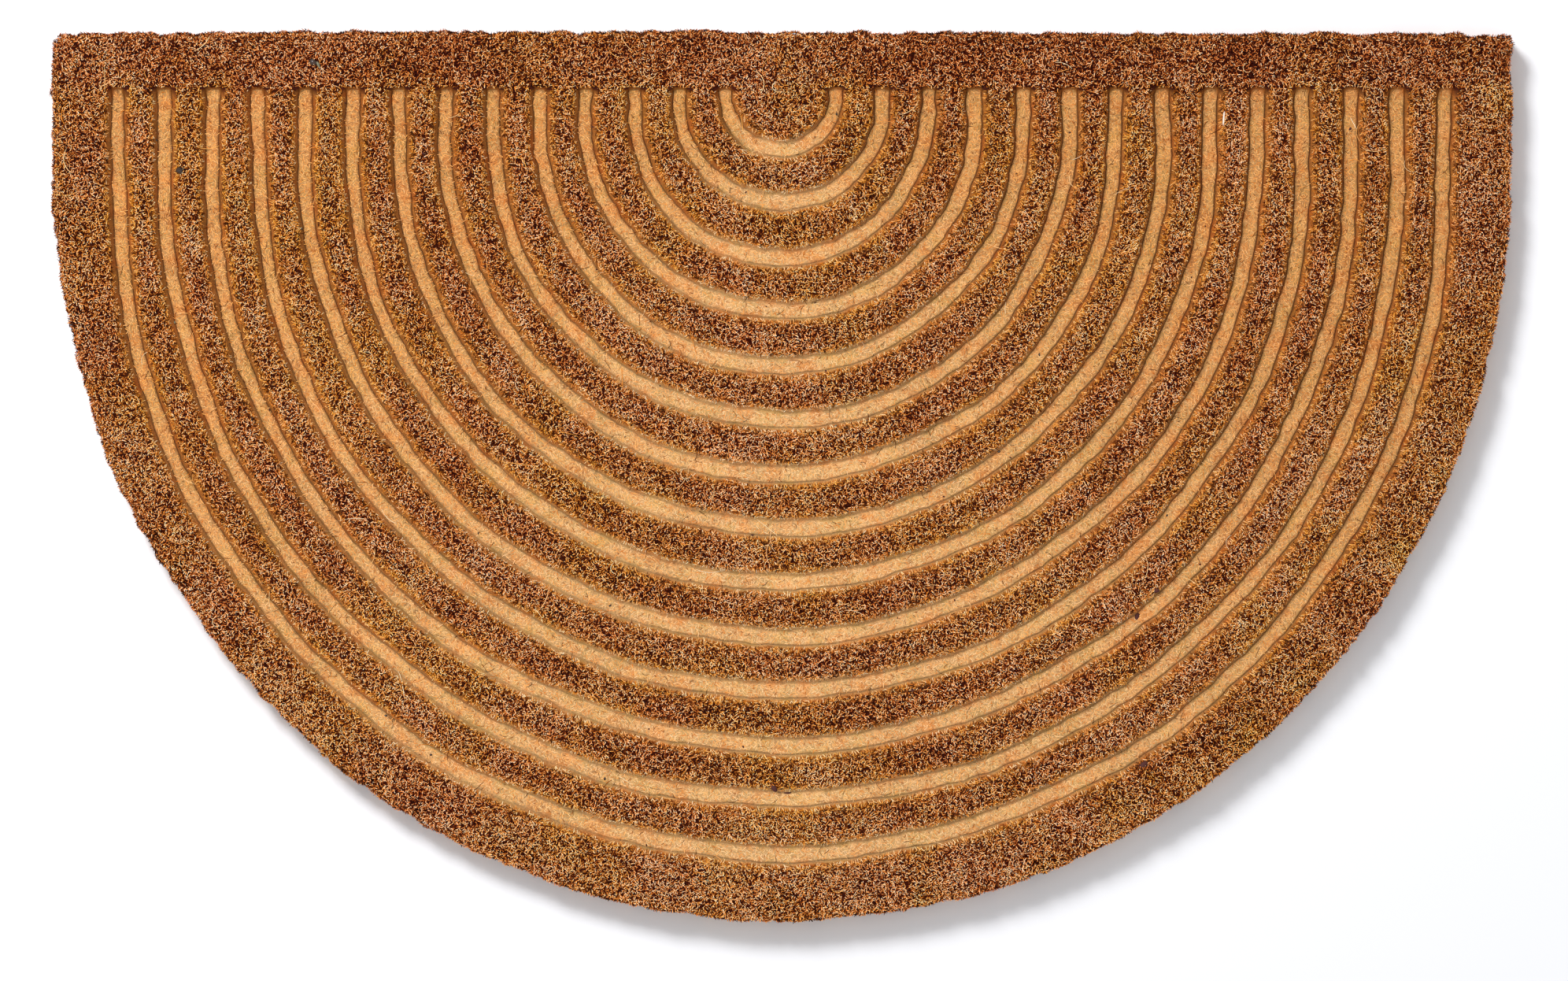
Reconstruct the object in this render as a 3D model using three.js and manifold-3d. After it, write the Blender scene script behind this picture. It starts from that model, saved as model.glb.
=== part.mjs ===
// A half-round coir doormat, lying flat with its pile up.
// One thick slab of pressed and tufted coir, cut to a half round with short straight sides.
// Fourteen U-shaped bands are pressed into the pile, one inside the other.
// Units are millimetres. X runs along the straight edge, +Y points to that edge and +Z is up.
// The origin is at the middle of the underside's bounding box.
import * as THREE from 'three';
import { mergeVertices } from 'three/addons/utils/BufferGeometryUtils.js';
import Module from 'manifold-3d';

// Outline of the mat
const MAT_WIDTH = 751;
const MAT_DEPTH = 457;
const SIDE_LENGTH = 76;
const MAT_THICKNESS = 16;
const EDGE_ROUND_IN = 1.6;
const EDGE_ROUND_DOWN = 2.4;
const EDGE_ROUND_STEPS = 2;
const LEFT_CORNER_CUT = 4;
const RIGHT_CORNER_CUT = 2;

// Number of straight runs that draw each stretch of the edge
const STRAIGHT_EDGE_RUNS = 48;
const SIDE_RUNS = 6;
const CURVE_RUNS = 96;

// The hand-cut edge wanders in and out, in whole waves around the mat
const EDGE_WAVES = [
  { wavesAround: 1, height: 0.75, phase: 0.34 },
  { wavesAround: 2, height: 0.73, phase: 4.94 },
  { wavesAround: 3, height: 0.14, phase: 0.3 },
  { wavesAround: 4, height: 0.21, phase: 6.28 },
  { wavesAround: 5, height: 0.21, phase: 1.46 },
  { wavesAround: 10, height: 0.23, phase: 3.04 },
  { wavesAround: 11, height: 0.18, phase: 6.17 },
  { wavesAround: 12, height: 0.15, phase: 4.04 },
  { wavesAround: 19, height: 0.14, phase: 1.65 },
];

// Pressed bands: each is a half circle between two short straight legs that end on one line
const BAND_COUNT = 14;
const BAND_LINE_FROM_EDGE = 29;
const BAND_CENTRE_X = -1.2;
const FIRST_BAND_RADIUS = 28.5;
const BAND_SPACING = 24.1;
const FIRST_BAND_LEG = 2.4;
const BAND_LEG_STEP = 3.75;
const BAND_RUN_LENGTH = 20;
const LEAST_BAND_RUNS = 18;

// Section across a band: a flat floor, a steep foot and a slope up to the pile
const BAND_DEPTH = 6.5;
const FLOOR_WIDTH = 7.4;
const FOOT_WIDTH = 0.9;
const FOOT_RISE = 2.4;
const SLOPE_WIDTH = 2.6;

// How far past the surface a cut starts, so that it opens cleanly
const CUT_CLEARANCE = 4;

// The press was laid by hand, so each band wanders sideways a little along its length
const BAND_WAVES = [
  { length: 210, height: 0.5, phase: 0.4, phaseStep: 2.1 },
  { length: 95, height: 0.35, phase: 1.9, phaseStep: 3.7 },
];

const PILE_COLOUR = 0x9a6139;
const PILE_ROUGHNESS = 0.95;

const wasm = await Module();
wasm.setup();

// Turns a closed geometry into a solid that can be cut.
function toSolid(geometry) {
  const bare = geometry.clone();
  bare.deleteAttribute('normal');
  bare.deleteAttribute('uv');
  const merged = mergeVertices(bare);
  return new wasm.Manifold(new wasm.Mesh({
    numProp: 3,
    vertProperties: new Float32Array(merged.attributes.position.array),
    triVerts: new Uint32Array(merged.index.array),
  }));
}

// Turns a solid back into a geometry.
function toGeometry(solid) {
  const mesh = solid.getMesh();
  const geometry = new THREE.BufferGeometry();
  geometry.setAttribute('position', new THREE.BufferAttribute(mesh.vertProperties, mesh.numProp));
  geometry.setIndex(new THREE.BufferAttribute(mesh.triVerts, 1));
  geometry.computeVertexNormals();
  return geometry;
}

// The true outline in order: the back edge, a cut corner, a side, the curve, a side, a corner.
function outlineStretches() {
  const halfWidth = MAT_WIDTH / 2;
  const back = MAT_DEPTH / 2;
  const curveStart = back - SIDE_LENGTH;
  const backRight = new THREE.Vector2(halfWidth - RIGHT_CORNER_CUT, back);
  const backLeft = new THREE.Vector2(LEFT_CORNER_CUT - halfWidth, back);
  const leftTop = new THREE.Vector2(-halfWidth, back - LEFT_CORNER_CUT);
  const leftFoot = new THREE.Vector2(-halfWidth, curveStart);
  const rightFoot = new THREE.Vector2(halfWidth, curveStart);
  const rightTop = new THREE.Vector2(halfWidth, back - RIGHT_CORNER_CUT);
  const halfRound = new THREE.EllipseCurve(
    0, curveStart, halfWidth, MAT_DEPTH - SIDE_LENGTH, Math.PI, 2 * Math.PI, false, 0);
  return [
    { curve: new THREE.LineCurve(backRight, backLeft), runs: STRAIGHT_EDGE_RUNS },
    { curve: new THREE.LineCurve(backLeft, leftTop), runs: 1 },
    { curve: new THREE.LineCurve(leftTop, leftFoot), runs: SIDE_RUNS },
    { curve: halfRound, runs: CURVE_RUNS },
    { curve: new THREE.LineCurve(rightFoot, rightTop), runs: SIDE_RUNS },
    { curve: new THREE.LineCurve(rightTop, backRight), runs: 1 },
  ];
}

// Points along the outline, each moved in or out by the edge's waves.
function cutOutline() {
  const points = outlineStretches().flatMap(({ curve, runs }) => curve.getSpacedPoints(runs).slice(0, -1));
  const steps = points.map((point, i) => point.distanceTo(points[(i + 1) % points.length]));
  const around = steps.reduce((sum, step) => sum + step, 0);
  let travelled = 0;
  return points.map((point, i) => {
    const before = points.at(i - 1);
    const after = points[(i + 1) % points.length];
    const along = after.clone().sub(before).normalize();
    const outward = new THREE.Vector2(along.y, -along.x);
    const turn = 2 * Math.PI * travelled / around;
    const offset = EDGE_WAVES.reduce(
      (sum, wave) => sum + wave.height * Math.sin(wave.wavesAround * turn + wave.phase), 0);
    travelled += steps[i];
    return point.clone().addScaledVector(outward, offset);
  });
}

// The slab before pressing, with a worn, rounded top edge and a flat underside.
function slab() {
  const blank = new THREE.ExtrudeGeometry(new THREE.Shape(cutOutline()), {
    depth: MAT_THICKNESS,
    bevelEnabled: true,
    bevelSize: EDGE_ROUND_IN,
    bevelOffset: -EDGE_ROUND_IN,
    bevelThickness: EDGE_ROUND_DOWN,
    bevelSegments: EDGE_ROUND_STEPS,
  });
  blank.translate(0, 0, -EDGE_ROUND_DOWN);
  const below = new THREE.BoxGeometry(2 * MAT_WIDTH, 2 * MAT_DEPTH, MAT_THICKNESS);
  below.translate(0, 0, -MAT_THICKNESS / 2);
  return toSolid(blank).subtract(toSolid(below));
}

// The middle line of one pressed band, from its left end round to its right end.
class BandTrack extends THREE.Curve {
  constructor(number) {
    super();
    this.number = number;
    this.radius = FIRST_BAND_RADIUS + BAND_SPACING * number;
    this.leg = FIRST_BAND_LEG + BAND_LEG_STEP * number;
    this.arc = Math.PI * this.radius;
    this.total = 2 * this.leg + this.arc;
    this.endY = MAT_DEPTH / 2 - BAND_LINE_FROM_EDGE;
  }

  wander(distance) {
    return BAND_WAVES.reduce((sum, wave) => {
      const turn = 2 * Math.PI * distance / wave.length;
      return sum + wave.height * Math.sin(turn + wave.phase + wave.phaseStep * this.number);
    }, 0);
  }

  getPoint(t, target = new THREE.Vector3()) {
    const distance = t * this.total;
    const intoArc = THREE.MathUtils.clamp(distance - this.leg, 0, this.arc);
    const angle = Math.PI + intoArc / this.radius;
    const fromEnd = Math.min(this.leg, distance, this.total - distance);
    const reach = this.radius + this.wander(distance);
    return target.set(
      BAND_CENTRE_X + reach * Math.cos(angle),
      this.endY - fromEnd + reach * Math.sin(angle),
      MAT_THICKNESS,
    );
  }
}

// The section that is pressed out, measured down from the top of the pile and across the band.
function bandSection() {
  const floor = FLOOR_WIDTH / 2;
  const foot = floor + FOOT_WIDTH;
  const brow = foot + SLOPE_WIDTH;
  const slopeRatio = SLOPE_WIDTH / (BAND_DEPTH - FOOT_RISE);
  const top = brow + slopeRatio * CUT_CLEARANCE;
  return new THREE.Shape([
    new THREE.Vector2(-CUT_CLEARANCE, -top),
    new THREE.Vector2(BAND_DEPTH - FOOT_RISE, -foot),
    new THREE.Vector2(BAND_DEPTH, -floor),
    new THREE.Vector2(BAND_DEPTH, floor),
    new THREE.Vector2(BAND_DEPTH - FOOT_RISE, foot),
    new THREE.Vector2(-CUT_CLEARANCE, top),
  ]);
}

// What the press takes out of the pile for one band.
function bandCut(number) {
  const track = new BandTrack(number);
  return new THREE.ExtrudeGeometry(bandSection(), {
    steps: Math.max(LEAST_BAND_RUNS, Math.round(track.total / BAND_RUN_LENGTH)),
    extrudePath: track,
    bevelEnabled: false,
  });
}

// Moves a geometry so that its bounding box sits on the ground, centred on the origin.
function seat(geometry) {
  geometry.computeBoundingBox();
  const box = geometry.boundingBox;
  const middle = box.getCenter(new THREE.Vector3());
  geometry.translate(-middle.x, -middle.y, -box.min.z);
  return geometry;
}

function pressedSlab() {
  let solid = slab();
  for (let number = 0; number < BAND_COUNT; number += 1) {
    solid = solid.subtract(toSolid(bandCut(number)));
  }
  return seat(toGeometry(solid));
}

const mat = new THREE.Mesh(
  pressedSlab(),
  new THREE.MeshStandardMaterial({ color: PILE_COLOUR, roughness: PILE_ROUGHNESS, metalness: 0 }),
);
mat.name = 'coir_mat';

const doormat = new THREE.Group();
doormat.add(mat);

export default doormat;
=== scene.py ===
"""The looks of a half-round coir doormat: a pressed slab, its cut pile and pale pressed bands."""

import functools
import logging
import math
from dataclasses import dataclass, field
from enum import Enum
from typing import Any, ClassVar, Sequence

import bpy
import numpy as np
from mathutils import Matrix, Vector


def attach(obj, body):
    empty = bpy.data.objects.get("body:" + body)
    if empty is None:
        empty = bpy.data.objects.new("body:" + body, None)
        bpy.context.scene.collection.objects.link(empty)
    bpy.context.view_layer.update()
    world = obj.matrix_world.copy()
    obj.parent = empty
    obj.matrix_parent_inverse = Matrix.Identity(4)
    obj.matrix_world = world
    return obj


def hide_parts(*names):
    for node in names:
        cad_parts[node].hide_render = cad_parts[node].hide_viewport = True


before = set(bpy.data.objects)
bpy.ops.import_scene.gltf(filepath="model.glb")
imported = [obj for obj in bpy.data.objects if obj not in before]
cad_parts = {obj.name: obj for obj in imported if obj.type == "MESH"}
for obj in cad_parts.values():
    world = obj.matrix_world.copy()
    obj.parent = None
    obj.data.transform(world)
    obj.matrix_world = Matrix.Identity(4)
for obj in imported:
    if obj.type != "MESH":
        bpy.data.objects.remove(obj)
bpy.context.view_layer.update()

MM = 0.001
NODE = "coir_mat"
BODY = "root"
# The colours of fibres are laid out on this map: tone across and hue upwards
COLOUR_MAP = "OFBake"

# Lengths too small to matter, which keep a division away from nought
TINY = 1e-6
TINIER = 1e-9

Numbers = np.ndarray
# The least and the most of a size or a share
Span = tuple[float, float]
# Rows of a section: offset, drop, how hard the coir is pressed and how much painted shade it takes
# in a crease
Rows = tuple[tuple[float, float, float, float], ...]

LOG = logging.getLogger("doormat")


def linear(colour: str) -> tuple[float, float, float, float]:
    """Turns a colour into the linear one that shaders take.

    Args:
        colour: An sRGB hex value, such as "#c89664".

    Returns:
        Red, green, blue and an alpha of one.
    """
    channels = [int(colour[i:i + 2], 16) / 255 for i in (1, 3, 5)]
    flat = [c / 12.92 if c <= 0.04045 else ((c + 0.055) / 1.055) ** 2.4 for c in channels]
    return (flat[0], flat[1], flat[2], 1.0)


def add_node(
    tree: bpy.types.NodeTree,
    kind: str,
    values: dict[str | int, Any] | None = None,
    links: dict[str | int, bpy.types.NodeSocket] | None = None,
    stops: Sequence[tuple[float, str]] = (),
    **settings: Any,
) -> bpy.types.Node:
    """Adds one node with its settings and links.

    Args:
        tree: The material's node tree.
        kind: The node's type.
        values: Numbers or colours for its input sockets.
        links: The output sockets that feed its input sockets.
        stops: Places and sRGB colours of a ramp.
        settings: The node's own settings.

    Returns:
        The node.
    """
    node = tree.nodes.new(kind)
    for name, value in settings.items():
        setattr(node, name, value)
    for socket, value in (values or {}).items():
        node.inputs[socket].default_value = value
    for socket, source in (links or {}).items():
        tree.links.new(source, node.inputs[socket])
    if stops:
        ramp = node.color_ramp
        while len(ramp.elements) < len(stops):
            ramp.elements.new(1.0)
        for element, (place, colour) in zip(ramp.elements, stops):
            element.position = place
            element.color = linear(colour)
    return node


def new_material(
    name: str, values: dict[str, Any],
) -> tuple[bpy.types.Material, bpy.types.NodeTree, bpy.types.Node]:
    """Starts a material on the plain shader.

    Args:
        name: The material's name.
        values: Numbers and colours for the shader's own sockets.

    Returns:
        The material, its node tree and its shader.
    """
    made = bpy.data.materials.new(name)
    made.use_nodes = True
    shader = made.node_tree.nodes["Principled BSDF"]
    for socket, value in values.items():
        shader.inputs[socket].default_value = value
    return made, made.node_tree, shader


def smooth_step(value: Numbers) -> Numbers:
    """Eases a number from 0 to 1, and holds it at either end."""
    held = np.clip(value, 0.0, 1.0)
    return held * held * (3 - 2 * held)


def unit(vectors: Numbers) -> Numbers:
    """Scales each row to a length of one."""
    return vectors / np.maximum(np.linalg.norm(vectors, axis=1, keepdims=True), TINIER)


@dataclass(frozen=True)
class Wave:
    """One slow wave in a hand-made edge or band.

    Its repeat is the number of waves round the mat for the edge, and a length in millimetres
    for a band. Its height is in millimetres, and its phase, which may step from one band to
    the next, is in radians.
    """

    repeat: float
    height: float
    phase: float
    phase_step: float = 0.0


@dataclass(frozen=True)
class Nibble:
    """Uneven nibbles of a knife: how far apart and how high, and the lane of chance they follow."""

    pitch: float
    height: float
    lane: float


@functools.cache
def lattice_of(seed: int, size: int) -> Numbers:
    """Draws the seeded lattice of heights that smooth unevenness is read from."""
    return np.random.default_rng(seed).uniform(-1, 1, (size, size))


@dataclass(frozen=True)
class Unevenness:
    """Smooth, repeatable unevenness over the mat, from a seeded lattice of heights."""

    seed: int
    size: int = 512

    def at(self, x: Numbers, y: Numbers, pitch: float) -> Numbers:
        """Reads the unevenness at places on the mat.

        Args:
            x: Places along the straight edge, in millimetres.
            y: Places towards the straight edge, in millimetres.
            pitch: The distance from one bump to the next, in millimetres.

        Returns:
            A number from -1 to 1 for each place.
        """
        lattice = lattice_of(self.seed, self.size)
        across, up = np.asarray(x) / pitch, np.asarray(y) / pitch
        column, row = np.floor(across).astype(int), np.floor(up).astype(int)
        s, t = smooth_step(across - column), smooth_step(up - row)
        left, right = column % self.size, (column + 1) % self.size
        low, high = row % self.size, (row + 1) % self.size
        below = lattice[low, left] * (1 - s) + lattice[low, right] * s
        above = lattice[high, left] * (1 - s) + lattice[high, right] * s
        return below * (1 - t) + above * t


@dataclass
class CutOutline:
    """The hand-cut outline: a straight back edge, two short sides and a half ellipse."""

    width: float = 751.0
    depth: float = 457.0
    side: float = 76.0
    left_corner: float = 4.0
    right_corner: float = 2.0
    waves: tuple[Wave, ...] = (
        Wave(1, 0.75, 0.34), Wave(2, 0.73, 4.94), Wave(3, 0.14, 0.3),
        Wave(4, 0.21, 6.28), Wave(5, 0.21, 1.46), Wave(10, 0.23, 3.04),
        Wave(11, 0.18, 6.17), Wave(12, 0.15, 4.04), Wave(19, 0.14, 1.65))
    nibbles: tuple[Nibble, ...] = (Nibble(9.0, 0.75, 54.0), Nibble(3.6, 0.55, 40.0))
    chance: Unevenness = Unevenness(51)
    # Places measured along the curve and along the back edge, and rounds of settling a place
    table_steps: int = 720
    back_steps: int = 2000
    settle_rounds: int = 4

    def __post_init__(self) -> None:
        """Works out how far round the mat each stretch of the edge begins."""
        self.half_width = self.width / 2
        self.back = self.depth / 2
        self.curve_y = self.back - self.side
        self.curve_depth = self.depth - self.side
        self.turns = np.linspace(math.pi, 2 * math.pi, self.table_steps)
        steps = np.hypot(
            np.diff(self.half_width * np.cos(self.turns)),
            np.diff(self.curve_depth * np.sin(self.turns)))
        self.curve_run = np.concatenate([[0.0], np.cumsum(steps)])
        back_run = self.width - self.left_corner - self.right_corner
        self.left_start = back_run + math.sqrt(2) * self.left_corner
        self.curve_start = self.left_start + self.side - self.left_corner
        self.right_start = self.curve_start + self.curve_run[-1]
        self.around = (
            self.right_start + self.side - self.right_corner + math.sqrt(2) * self.right_corner)

    def wave(self, travelled: Numbers) -> Numbers:
        """Gives how far the knife strayed outwards at distances round the mat."""
        turn = 2 * math.pi * travelled / self.around
        slow = sum(w.height * np.sin(w.repeat * turn + w.phase) for w in self.waves)
        quick = sum(n.height * self.chance.at(travelled, n.lane, n.pitch) for n in self.nibbles)
        return slow + quick

    def inset(self, x: Numbers, y: Numbers) -> Numbers:
        """Measures how far inside the cut edge places lie.

        Args:
            x: Places along the straight edge, in millimetres.
            y: Places towards the straight edge, in millimetres.

        Returns:
            Distances in millimetres, negative outside the mat.
        """
        right_end = self.half_width - self.right_corner
        left, right, back = x + self.half_width, self.half_width - x, self.back - y
        on_back = back + self.wave(right_end - x)
        on_left = left + self.wave(self.left_start + self.back - self.left_corner - y)
        on_right = right + self.wave(self.right_start + y - self.curve_y)
        corners = np.minimum(
            (left + back - self.left_corner) / math.sqrt(2) + self.wave(self.left_start),
            (right + back - self.right_corner) / math.sqrt(2) + self.wave(self.around))
        straight = np.minimum(np.minimum(on_left, on_right), np.minimum(on_back, corners))
        share_x, share_y = x / self.half_width, (y - self.curve_y) / self.curve_depth
        ratio = np.maximum(np.hypot(share_x, share_y), TINY)
        slope = np.hypot(share_x / self.half_width, share_y / self.curve_depth) / ratio
        turn = np.arctan2(share_y, share_x) % (2 * math.pi)
        run = np.interp(turn, self.turns, self.curve_run)
        on_curve = (1 - ratio) / np.maximum(slope, TINY) + self.wave(self.curve_start + run)
        return np.where(y < self.curve_y, on_curve, straight)

    def outward(self, x: Numbers, y: Numbers) -> tuple[Numbers, Numbers]:
        """Gives the direction, as two shares, that leads out of the mat from each place."""
        step = 0.2
        along_x = self.inset(x - step, y) - self.inset(x + step, y)
        along_y = self.inset(x, y - step) - self.inset(x, y + step)
        size = np.maximum(np.hypot(along_x, along_y), TINIER)
        return along_x / size, along_y / size

    def settle(self, x: Numbers, y: Numbers, inset: float) -> tuple[Numbers, Numbers]:
        """Moves places straight in or out until they lie at one distance inside the edge."""
        for _ in range(self.settle_rounds):
            push = self.inset(x, y) - inset
            out_x, out_y = self.outward(x, y)
            x, y = x + push * out_x, y + push * out_y
        return x, y

    def back_corners(self, inset: float) -> tuple[Numbers, Numbers]:
        """Gives the places of the right and left back corners at one distance inside the edge."""
        right_x = self.half_width - inset + self.wave(self.right_start + self.side)
        left_x = inset - self.half_width - self.wave(self.left_start)
        x = np.array([right_x, left_x])
        y = self.back - inset + self.wave(self.half_width - self.right_corner - x)
        return self.settle(x, y, inset)

    def walk(self, travelled: Numbers) -> tuple[Numbers, Numbers]:
        """Gives the true outline's places at distances along its sides and curve."""
        on_curve = np.interp(travelled - self.curve_start, self.curve_run, self.turns)
        x = self.half_width * np.cos(on_curve)
        y = self.curve_y + self.curve_depth * np.sin(on_curve)
        on_left = np.maximum(self.curve_start - travelled, 0)
        on_right = np.maximum(travelled - self.right_start, 0)
        return x, y + on_left + on_right

    def middle(self) -> tuple[float, float]:
        """Gives the middle of the cut outline's own box, where the frame has its origin."""
        sides_x, sides_y = self.walk(
            np.linspace(self.left_start, self.around, 4 * self.table_steps))
        back_x = np.linspace(
            -self.half_width + self.left_corner, self.half_width - self.right_corner,
            self.back_steps)
        x = np.concatenate([sides_x, back_x])
        y = np.concatenate([sides_y, np.full(self.back_steps, self.back)])
        x, y = self.settle(x, y, 0.0)
        return (x.min() + x.max()) / 2, (y.min() + y.max()) / 2


@dataclass(frozen=True)
class BandPlaces:
    """Where places lie beside their nearest pressed band."""

    distance: Numbers
    out_x: Numbers
    out_y: Numbers
    past_end: Numbers

    def aside(self) -> Numbers:
        """Gives the distance from the band's middle line, whichever side a place is on."""
        return np.abs(self.distance)


@dataclass(frozen=True)
class PressedBands:
    """The U-shaped bands that a hot die presses into the pile, one inside the other."""

    count: int = 14
    line_y: float = 199.5
    centre_x: float = -0.95
    first_radius: float = 28.5
    spacing: float = 24.1
    first_leg: float = 2.4
    leg_step: float = 3.75
    waves: tuple[Wave, ...] = (Wave(210, 0.5, 0.4, 2.1), Wave(95, 0.35, 1.9, 3.7))
    # How much nearer to the middle the bands lie at their sides than at the foot of the U
    side_pull: float = 0.65
    # Each side frays: it sets in outside the middle line, and dies away before its reach
    fray_height: float = 0.6
    fray_repeat: float = 8.0
    fray_set_in: float = 2.6
    fray_die_away: float = 3.5
    fray_reach: float = 9.0
    # Finer frays ride on these, as shares of their height and length, from further along
    fine_height: float = 0.45
    fine_repeat: float = 0.4
    fine_shift: float = 170.0
    # Lanes of chance from the inner side of a band to its outer side
    outer_lane: float = 64.0
    chance: Unevenness = Unevenness(41)

    def radius(self, number: Numbers) -> Numbers:
        """Gives the radius of each numbered band."""
        return self.first_radius + self.spacing * number

    def leg(self, number: Numbers) -> Numbers:
        """Gives the length of each numbered band's straight legs."""
        return self.first_leg + self.leg_step * number

    def wander(self, number: Numbers, distance: Numbers) -> Numbers:
        """Gives how far a band strays outwards at distances along it."""
        radius = self.radius(number)
        turn = np.clip((distance - self.leg(number)) / radius, 0, math.pi)
        stray = sum(
            w.height * np.sin(2 * math.pi * distance / w.repeat + w.phase + w.phase_step * number)
            for w in self.waves)
        return stray - self.side_pull * np.abs(np.cos(turn))

    def fray(self, number: Numbers, distance: Numbers, offset: Numbers) -> Numbers:
        """Gives how far each side of a band frays outwards, where the pile gave way unevenly.

        Args:
            number: The band, counted from the innermost.
            distance: Distances along it, in millimetres.
            offset: Distances outside its middle line, in millimetres.

        Returns:
            Distances in millimetres, which fade at the middle line and up on the pile.
        """
        lane = self.fray_repeat * (2.0 * number + np.where(offset > 0, self.outer_lane, 0.0))
        stray = self.chance.at(distance, lane, self.fray_repeat)
        fine = self.chance.at(distance + self.fine_shift, lane, self.fine_repeat * self.fray_repeat)
        stray = stray + self.fine_height * fine
        aside = np.abs(offset)
        begun = np.clip(aside / self.fray_set_in, 0, 1)
        left = np.clip((self.fray_reach - aside) / self.fray_die_away, 0, 1)
        return self.fray_height * stray * (begun * left)

    def beside(self, number: int, offset: float, share: Numbers) -> tuple[Numbers, Numbers]:
        """Gives places beside one band.

        Args:
            number: The band, counted from the innermost.
            offset: How far outside its middle line the places lie, in millimetres.
            share: How far along the band they lie, from 0 at its left end to 1.

        Returns:
            Their x and y, in millimetres.
        """
        radius, leg = self.radius(number), self.leg(number)
        total = 2 * leg + math.pi * radius
        distance = share * total
        angle = math.pi + np.clip(distance - leg, 0, math.pi * radius) / radius
        from_end = np.minimum(leg, np.minimum(distance, total - distance))
        fray = self.fray(number, distance, np.full_like(distance, offset))
        reach = radius + (self.wander(number, distance) + fray) + offset
        x = self.centre_x + reach * np.cos(angle)
        y = self.line_y - from_end + reach * np.sin(angle)
        return x, y

    def locate(self, x: Numbers, y: Numbers) -> BandPlaces:
        """Finds the nearest band to each place.

        Args:
            x: Places along the straight edge, in millimetres.
            y: Places towards the straight edge, in millimetres.

        Returns:
            Their distances outside its middle line, its outward direction, and how far
            they lie past its ends, towards the straight edge.
        """
        across, down = x - self.centre_x, self.line_y - y
        reach = np.abs(across)
        lengthening = self.leg_step / self.spacing
        sunk = down - (self.first_leg - lengthening * self.first_radius)
        flatness = 1 - lengthening ** 2
        root = np.sqrt((lengthening * sunk) ** 2 + flatness * (reach ** 2 + sunk ** 2))
        size = np.where(sunk < lengthening * reach, reach, (root - lengthening * sunk) / flatness)
        number = np.clip(np.round((size - self.first_radius) / self.spacing), 0, self.count - 1)
        radius, leg = self.radius(number), self.leg(number)
        below = np.maximum(down - leg, 0)
        length = np.maximum(np.hypot(across, below), TINY)
        angle = np.arctan2(-below, across) % (2 * math.pi)
        on_left = np.clip(down, 0, leg)
        travelled = np.where(
            below > 0, leg + (angle - math.pi) * radius,
            np.where(across < 0, on_left, 2 * leg + math.pi * radius - on_left))
        distance = length - radius - self.wander(number, travelled)
        distance = distance - self.fray(number, travelled, distance)
        return BandPlaces(distance, across / length, -below / length, -down)


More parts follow.
